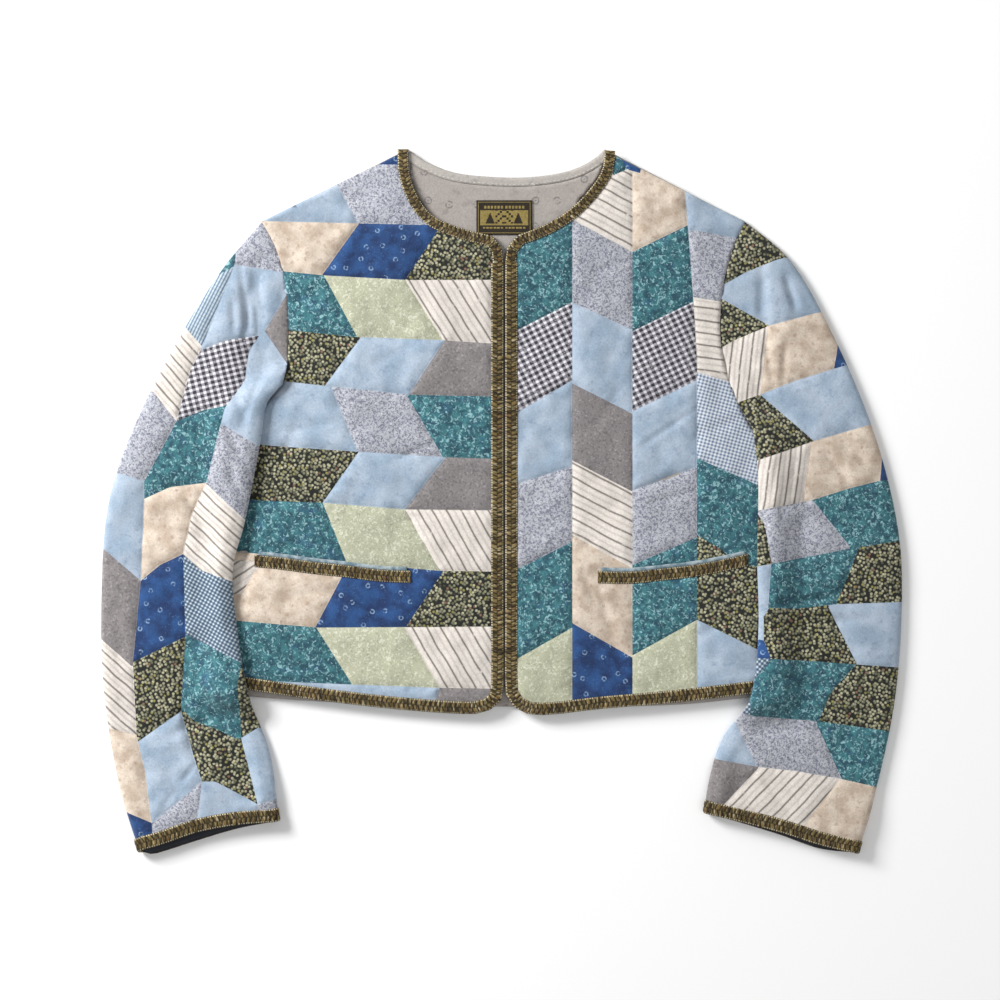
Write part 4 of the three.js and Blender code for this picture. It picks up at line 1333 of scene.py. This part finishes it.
def cuff_loop(side, inward, skin):
    """A closed loop round the flattened sleeve, `inward` mm up from the cuff's edge."""
    def direction(line):
        step = line[-4] - line[-1]
        return step / np.hypot(*step)

    up = [direction(outer_fold[side]), direction(inner_fold[side])]
    chains = {}
    for sheet, line in (("upper", cuff_upper[side]), ("lower", cuff_lower[side])):
        width = lengths(line)[-1]
        t = np.linspace(FOLD / width, 1 - FOLD / width, CUFF_POINTS)
        base = resample(line, 400)[np.round(t * 400).astype(int)]
        lift = up[0] * (1 - t[:, None]) + up[1] * t[:, None]
        plan = base + inward * lift / np.hypot(*lift.T)[:, None]
        low = sleeve_low(side, plan)
        if sheet == "upper":
            chains[sheet] = np.column_stack([plan, low + sleeve_height(side, plan) + skin])
        else:
            chains[sheet] = np.column_stack([plan, low - skin])
    upper, lower = chains["upper"], chains["lower"][::-1]

    def bend(a, b, outwards):
        turn = np.arange(1, CUFF_BEND_POINTS) / CUFF_BEND_POINTS
        level = (1 - np.cos(np.pi * turn)) / 2
        plan = a[:2] + (b[:2] - a[:2]) * turn[:, None]
        plan = plan + outwards * (np.sin(np.pi * turn) * (FOLD + skin))[:, None]
        return np.column_stack([plan, a[2] + (b[2] - a[2]) * level])

    out = (upper[-1] - upper[0])[:2]
    out /= np.hypot(*out)
    return np.vstack([upper, bend(upper[-1], lower[0], out), lower, bend(lower[-1], upper[0], -out)])


def shell(name, loops, material):
    """A closed band from loops of points: each goes round, and the loops go round its wall."""
    rows, count = len(loops), len(loops[0])
    points = np.vstack(loops)
    faces = []
    for r in range(rows):
        q = (r + 1) % rows
        for i in range(count):
            j = (i + 1) % count
            faces.append([r * count + i, r * count + j, q * count + j, q * count + i])
    along = np.arange(count) * 3.0
    plan = np.vstack([np.column_stack([along, np.full(count, 5.0 * r)]) for r in range(rows)])
    return plain_mesh(name, points, faces, material, plan)


def make_sleeve_lining(side):
    skin = -WALL - 0.8 * GAP
    depths = (1.5, 12, 24, 36, LINING_LENGTH)
    outer = [cuff_loop(side, d, skin) for d in depths]
    inner = [cuff_loop(side, d, skin - LINING_THICK) for d in reversed(depths)]
    piece = shell(f"lining_sleeve_{side}", [*outer, *inner], "dark_lining")
    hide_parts(f"sleeve_lining_{side}")
    return piece


# -------------------- braid

BRAID_STEP = 0.62
BRAID_ACROSS = 14
BRAID_BODY = 0.55  # the braid's height without its strands
BRAID_SEWN = 0.15  # how far its back stands off the cloth
CUFF_BRAID = (-0.6, 11.4)  # from just past the cuff's edge to its inner edge


def plait_height(u, v):
    """The braid's relief in mm, on the same strands as its colours."""
    side = (v > 0) * 0.5
    along = u / PITCH + np.abs(v) * SLANT + side
    within = np.abs(along - np.floor(along) - 0.5) * 2
    strand = 0.6 * np.sqrt(np.clip(1 - within**2, 0, 1))
    groove = 0.3 * np.exp(-((v / 0.1) ** 2))
    edge = 0.8 * smooth(0.72, 1.0, np.abs(v))
    return strand - groove - edge


def braid(name, edge, far, closed=False, material="edge_braid", flip=False):
    """A flat plait between two matching lines of points in mm."""
    if closed:
        edge, far = closed_line(edge), closed_line(far)
    middle = (edge + far) / 2
    s = np.concatenate([[0], np.cumsum(np.linalg.norm(np.diff(middle, axis=0), axis=1))])
    length = round(s[-1] / PITCH) * PITCH if closed else s[-1]  # whole plaits round a cuff
    at = np.linspace(0, s[-1], int(length / BRAID_STEP) + 1)

    def even(line):
        return np.stack([np.interp(at, s, line[:, k]) for k in range(3)], 1)

    edge, far, u = even(edge), even(far), at * (length / s[-1])
    if closed:
        edge, far, u = edge[:-1], far[:-1], u[:-1]
        tangent = np.roll(edge + far, -1, 0) - np.roll(edge + far, 1, 0)
    else:
        tangent = np.gradient(edge + far, axis=0)
    n = len(edge)
    up = np.cross(tangent, far - edge)
    up /= np.linalg.norm(up, axis=1)[:, None] * (-1 if flip else 1)
    w = np.linspace(0, 1, BRAID_ACROSS)
    v = 2 * w - 1
    grid = edge[:, None] * (1 - w)[None, :, None] + far[:, None] * w[None, :, None]
    height = BRAID_BODY + 0.95 * plait_height(u[:, None], v[None, :])
    height = np.clip(height, 0.1, None)
    top = grid + up[:, None] * height[:, :, None]
    points = [top.reshape(-1, 3), edge, far]
    plan = [np.column_stack([np.repeat(u, BRAID_ACROSS), np.tile(v, n)]),
            np.column_stack([u, np.full(n, -1.0)]), np.column_stack([u, np.full(n, 1.0)])]
    faces = []
    m = BRAID_ACROSS
    near, over = n * m, n * m + n
    for i in range(n if closed else n - 1):
        j = (i + 1) % n
        for k in range(m - 1):
            faces.append([i * m + k, j * m + k, j * m + k + 1, i * m + k + 1])
        faces.append([near + i, near + j, j * m, i * m])
        faces.append([i * m + m - 1, j * m + m - 1, over + j, over + i])
        faces.append([near + j, near + i, over + i, over + j])
    if not closed:
        for i in (0, n - 1):
            faces.append([near + i, *range(i * m, i * m + m), over + i])
    piece = plain_mesh(name, np.vstack(points), faces, material, np.vstack(plan), UNMOVED)
    return piece


def on_surface(line, height):
    return np.column_stack([line, height(line)])


def flat_braid(name, node, line, way, height, material="edge_braid", flip=False,
               width=BRAID_WIDTH):
    """A braid along a line on the body, to its left where way is 1."""
    line = resample(line, int(lengths(line)[-1] / 4))
    near = beside(line, way * 0.05)
    far = beside(line, way * width)
    piece = braid(name, on_surface(near, height), on_surface(far, height), material=material,
                  flip=flip)
    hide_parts(node)
    return piece


NECK_BRAID_END = 225.0  # how far down the front edge the neck braid turns
NECK_BRAID_RISE = 0.2  # it lies this much above the front braid


def make_body_braids(side):
    way = INWARD[side]

    def height(p):
        return front_top(side, p) + BRAID_SEWN

    flip = side == "right"
    edge_line = front_edge[side]
    start = np.argmax(edge_line[:, 1] < NECK_BRAID_END)  # where the front braid takes over
    corner = np.vstack([front_neck[side], edge_line[1:start + 1]])
    neck = flat_braid(f"braid_neck_{side}", f"neck_braid_{side}", corner, way,
                      lambda p: height(p) + NECK_BRAID_RISE, flip=flip, width=NECK_BRAID_WIDTH)
    edge = flat_braid(f"braid_edge_{side}", f"front_braid_{side}", edge_line[start:], way, height,
                      flip=flip)
    mouth = pocket_line(side)
    pocket = braid(f"braid_pocket_{side}", on_surface(raised(mouth, -BRAID_WIDTH), height),
                   on_surface(mouth, height), flip=flip)
    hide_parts(f"pocket_braid_{side}")
    return neck, edge, pocket


def make_back_braids():
    def height(p):
        return back_low(p) - 0.1

    hem_piece = flat_braid("braid_back_hem", "hem_braid_back", hem, 1, height,
                           "edge_braid_brown", flip=True)
    neck_piece = flat_braid("braid_back_neck", "neck_braid_back", back_neck, -1, height)
    return hem_piece, neck_piece


def make_cuff_braid(side):
    edge, far = (cuff_loop(side, inward, GAP / 2) for inward in CUFF_BRAID)
    piece = braid(f"braid_cuff_{side}", edge, far, closed=True, flip=side == "left")
    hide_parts(f"cuff_braid_{side}")
    return piece


# -------------------- label and stitches

LABEL_CELL = 0.5


def from_label_edge(u, v):
    return np.minimum.reduce([u, LABEL_SIZE[0] - u, v, LABEL_SIZE[1] - v])


def label_motif(u, v):
    """True where the label's gold thread shows: a border, bars and a field with two dark darts."""
    width, height = LABEL_SIZE
    edge = from_label_edge(u, v)
    frame_line = (edge > 1.6) & (edge < 2.2)
    x, y = np.abs(u - width / 2), v - height / 2
    bars = (np.abs(y - 9.2) < 1.2) & (x < 19) & ((np.floor(x / 1.0) % 3) > 0)
    field = (x < 21.5) & (y > -7.0) & (y < 6.4)
    dart = (y < 4.2) & (y > -5.4) & (np.abs(x - 12.6) < (4.6 - y) * 0.42)
    shade = (x < 8) & (y > -5.4) & ((np.floor(x / 2.0) + np.floor(y / 2.0)) % 3 == 0)
    foot = (np.abs(y + 9.4) < 0.8) & (x < 19) & ((np.floor(x / 0.8) % 4) > 0)
    return frame_line | bars | (field & ~dart & ~shade) | foot


def make_label():
    nu, nv = (int(round(k / LABEL_CELL)) for k in LABEL_SIZE)
    grid = np.meshgrid(np.arange(nu + 1) * LABEL_CELL, np.arange(nv + 1) * LABEL_CELL)
    u, v = (k.ravel() for k in grid)
    flat = np.column_stack([u, v]) - LABEL_SIZE / 2 + LABEL_AT
    base = back_top(flat) + 2 * GAP + LINING_THICK + 0.15
    gold_here = label_motif(u + LABEL_CELL / 2, v + LABEL_CELL / 2)
    top = base + LABEL_THICK - 0.3 * (from_label_edge(u, v) < 0.3) + 0.12 * label_motif(u, v)
    n = len(flat)
    points = np.vstack([np.column_stack([flat, top]), np.column_stack([flat, base])])
    ids = np.arange(n).reshape(nv + 1, nu + 1)
    a, b, c, d = ids[:-1, :-1], ids[:-1, 1:], ids[1:, 1:], ids[1:, :-1]
    tops = np.stack([a, b, c, d], -1).reshape(-1, 4)
    material_of = gold_here[tops[:, 0]].astype(int)
    ring = np.concatenate([ids[0, :-1], ids[:-1, -1], ids[-1, :0:-1], ids[:0:-1, 0]])
    nxt = np.roll(ring, -1)
    sides = np.stack([nxt, ring, ring + n, nxt + n], 1)
    faces = np.vstack([tops, tops[:, ::-1] + n, sides])
    material_of = np.concatenate([material_of, np.zeros(len(tops) + len(sides), int)])
    piece = cloth_mesh("label", points, faces, material_of, [cloth("label_dark"), cloth("label_gold")],
                       np.vstack([flat, flat]), np.tile(PLAIN, (len(faces), 1)))
    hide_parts("neck_label")
    return piece


STITCH = 2.6
STITCH_PITCH = 4.0
STITCH_THICK = 0.32


def stitches(name, line, height):
    """A row of small raised stitches along a line on the cloth."""
    s = lengths(line)
    points, faces, plan = [], [], []
    for at in np.arange(STITCH_PITCH, s[-1] - STITCH_PITCH, STITCH_PITCH):
        ends = np.array([[np.interp(at + k, s, line[:, 0]), np.interp(at + k, s, line[:, 1])]
                         for k in (-STITCH / 2, STITCH / 2)])
        along = (ends[1] - ends[0]) / STITCH
        across = np.array([-along[1], along[0]])
        z = float(height(ends.mean(0)[None])[0])
        start = len(points)
        for share, swell in ((0, 0.25), (0.25, 1), (0.75, 1), (1, 0.25)):
            centre = ends[0] + (ends[1] - ends[0]) * share
            for turn in np.arange(6) * np.pi / 3:
                side = across * np.cos(turn) * STITCH_THICK * swell
                points.append((*(centre + side), z + 0.05 + 0.26 * swell * np.sin(turn)))
                plan.append(centre)
        for r in range(3):
            for k in range(6):
                j = (k + 1) % 6
                faces.append([start + r * 6 + k, start + r * 6 + j,
                              start + r * 6 + 6 + j, start + r * 6 + 6 + k])
        faces.append([start + k for k in range(6)])
        faces.append([start + 18 + k for k in range(6)])
    return plain_mesh(name, np.array(points), faces, "thread", np.array(plan))


# -------------------- camera, floor and light

VIEW_WIDTH = 0.9
CAMERA_HEIGHT = 2.5
SENSOR = 36.0
VIEW_MIDDLE = np.array([-1.8, 0.45])  # the point that the camera looks straight down on, in mm
camera_data = bpy.data.cameras.new("camera")
camera_data.sensor_width = SENSOR
camera_data.lens = SENSOR * CAMERA_HEIGHT / VIEW_WIDTH
camera = bpy.data.objects.new("camera", camera_data)
camera.location = (*((VIEW_MIDDLE + ORIGIN) * MM), CAMERA_HEIGHT)
bpy.context.scene.collection.objects.link(camera)
bpy.context.scene.camera = camera


def make_floor():
    mesh = bpy.data.meshes.new("floor")
    half = 3.0
    mesh.from_pydata([(-half, -half, 0), (half, -half, 0), (half, half, 0), (-half, half, 0)], [],
                     [(0, 1, 2, 3)])
    material = bpy.data.materials.new("floor")
    material.use_nodes = True
    shader = material.node_tree.nodes["Principled BSDF"]
    shader.inputs["Base Color"].default_value = rgb(244, 244, 244)
    shader.inputs["Roughness"].default_value = 0.95
    mesh.materials.append(material)
    floor = bpy.data.objects.new("floor", mesh)
    bpy.context.scene.collection.objects.link(floor)
    return floor


def area_light(name, place, size, power):
    """A square light that faces the middle of the jacket."""
    data = bpy.data.lights.new(name, "AREA")
    data.size = size
    data.energy = power
    light = bpy.data.objects.new(name, data)
    light.location = place
    light.rotation_euler = (-Vector(place)).to_track_quat("-Z", "Y").to_euler()
    bpy.context.scene.collection.objects.link(light)


floor = make_floor()
area_light("key", (-1.9, 1.2, 1.2), 0.9, 100)
area_light("fill", (1.0, -0.8, 2.6), 2.0, 16)
world = bpy.data.worlds.new("studio")
world.use_nodes = True
sky = world.node_tree.nodes["Background"]
sky.inputs["Color"].default_value = (1, 1, 1, 1)
sky.inputs["Strength"].default_value = 0.4
bpy.context.scene.world = world
bpy.context.scene.view_settings.view_transform = "Standard"

# -------------------- everything together

back = make_back()
back_lining_piece, facing_piece = make_lining()
label = make_label()
back_braids = make_back_braids()
seam_stitches = stitches("stitches_facing", facing_seam,
                         lambda p: back_top(p) + GAP + LINING_THICK + 0.1)


facing_length = float(lengths(neck_middle)[-1]) * MM
for side in SIDES:
    pocket = make_pocket(side)
    front = make_front(side)
    sleeve = make_sleeve(side)
    sleeve_lining = make_sleeve_lining(side)
    cuff = make_cuff_braid(side)
    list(make_body_braids(side))
    make_welt(side)
    pocket_width = float(np.ptp(pocket_inside(side)[:, 0])) * MM
    cuff_round = float(2 * lengths(cuff_upper[side])[-1]) * MM
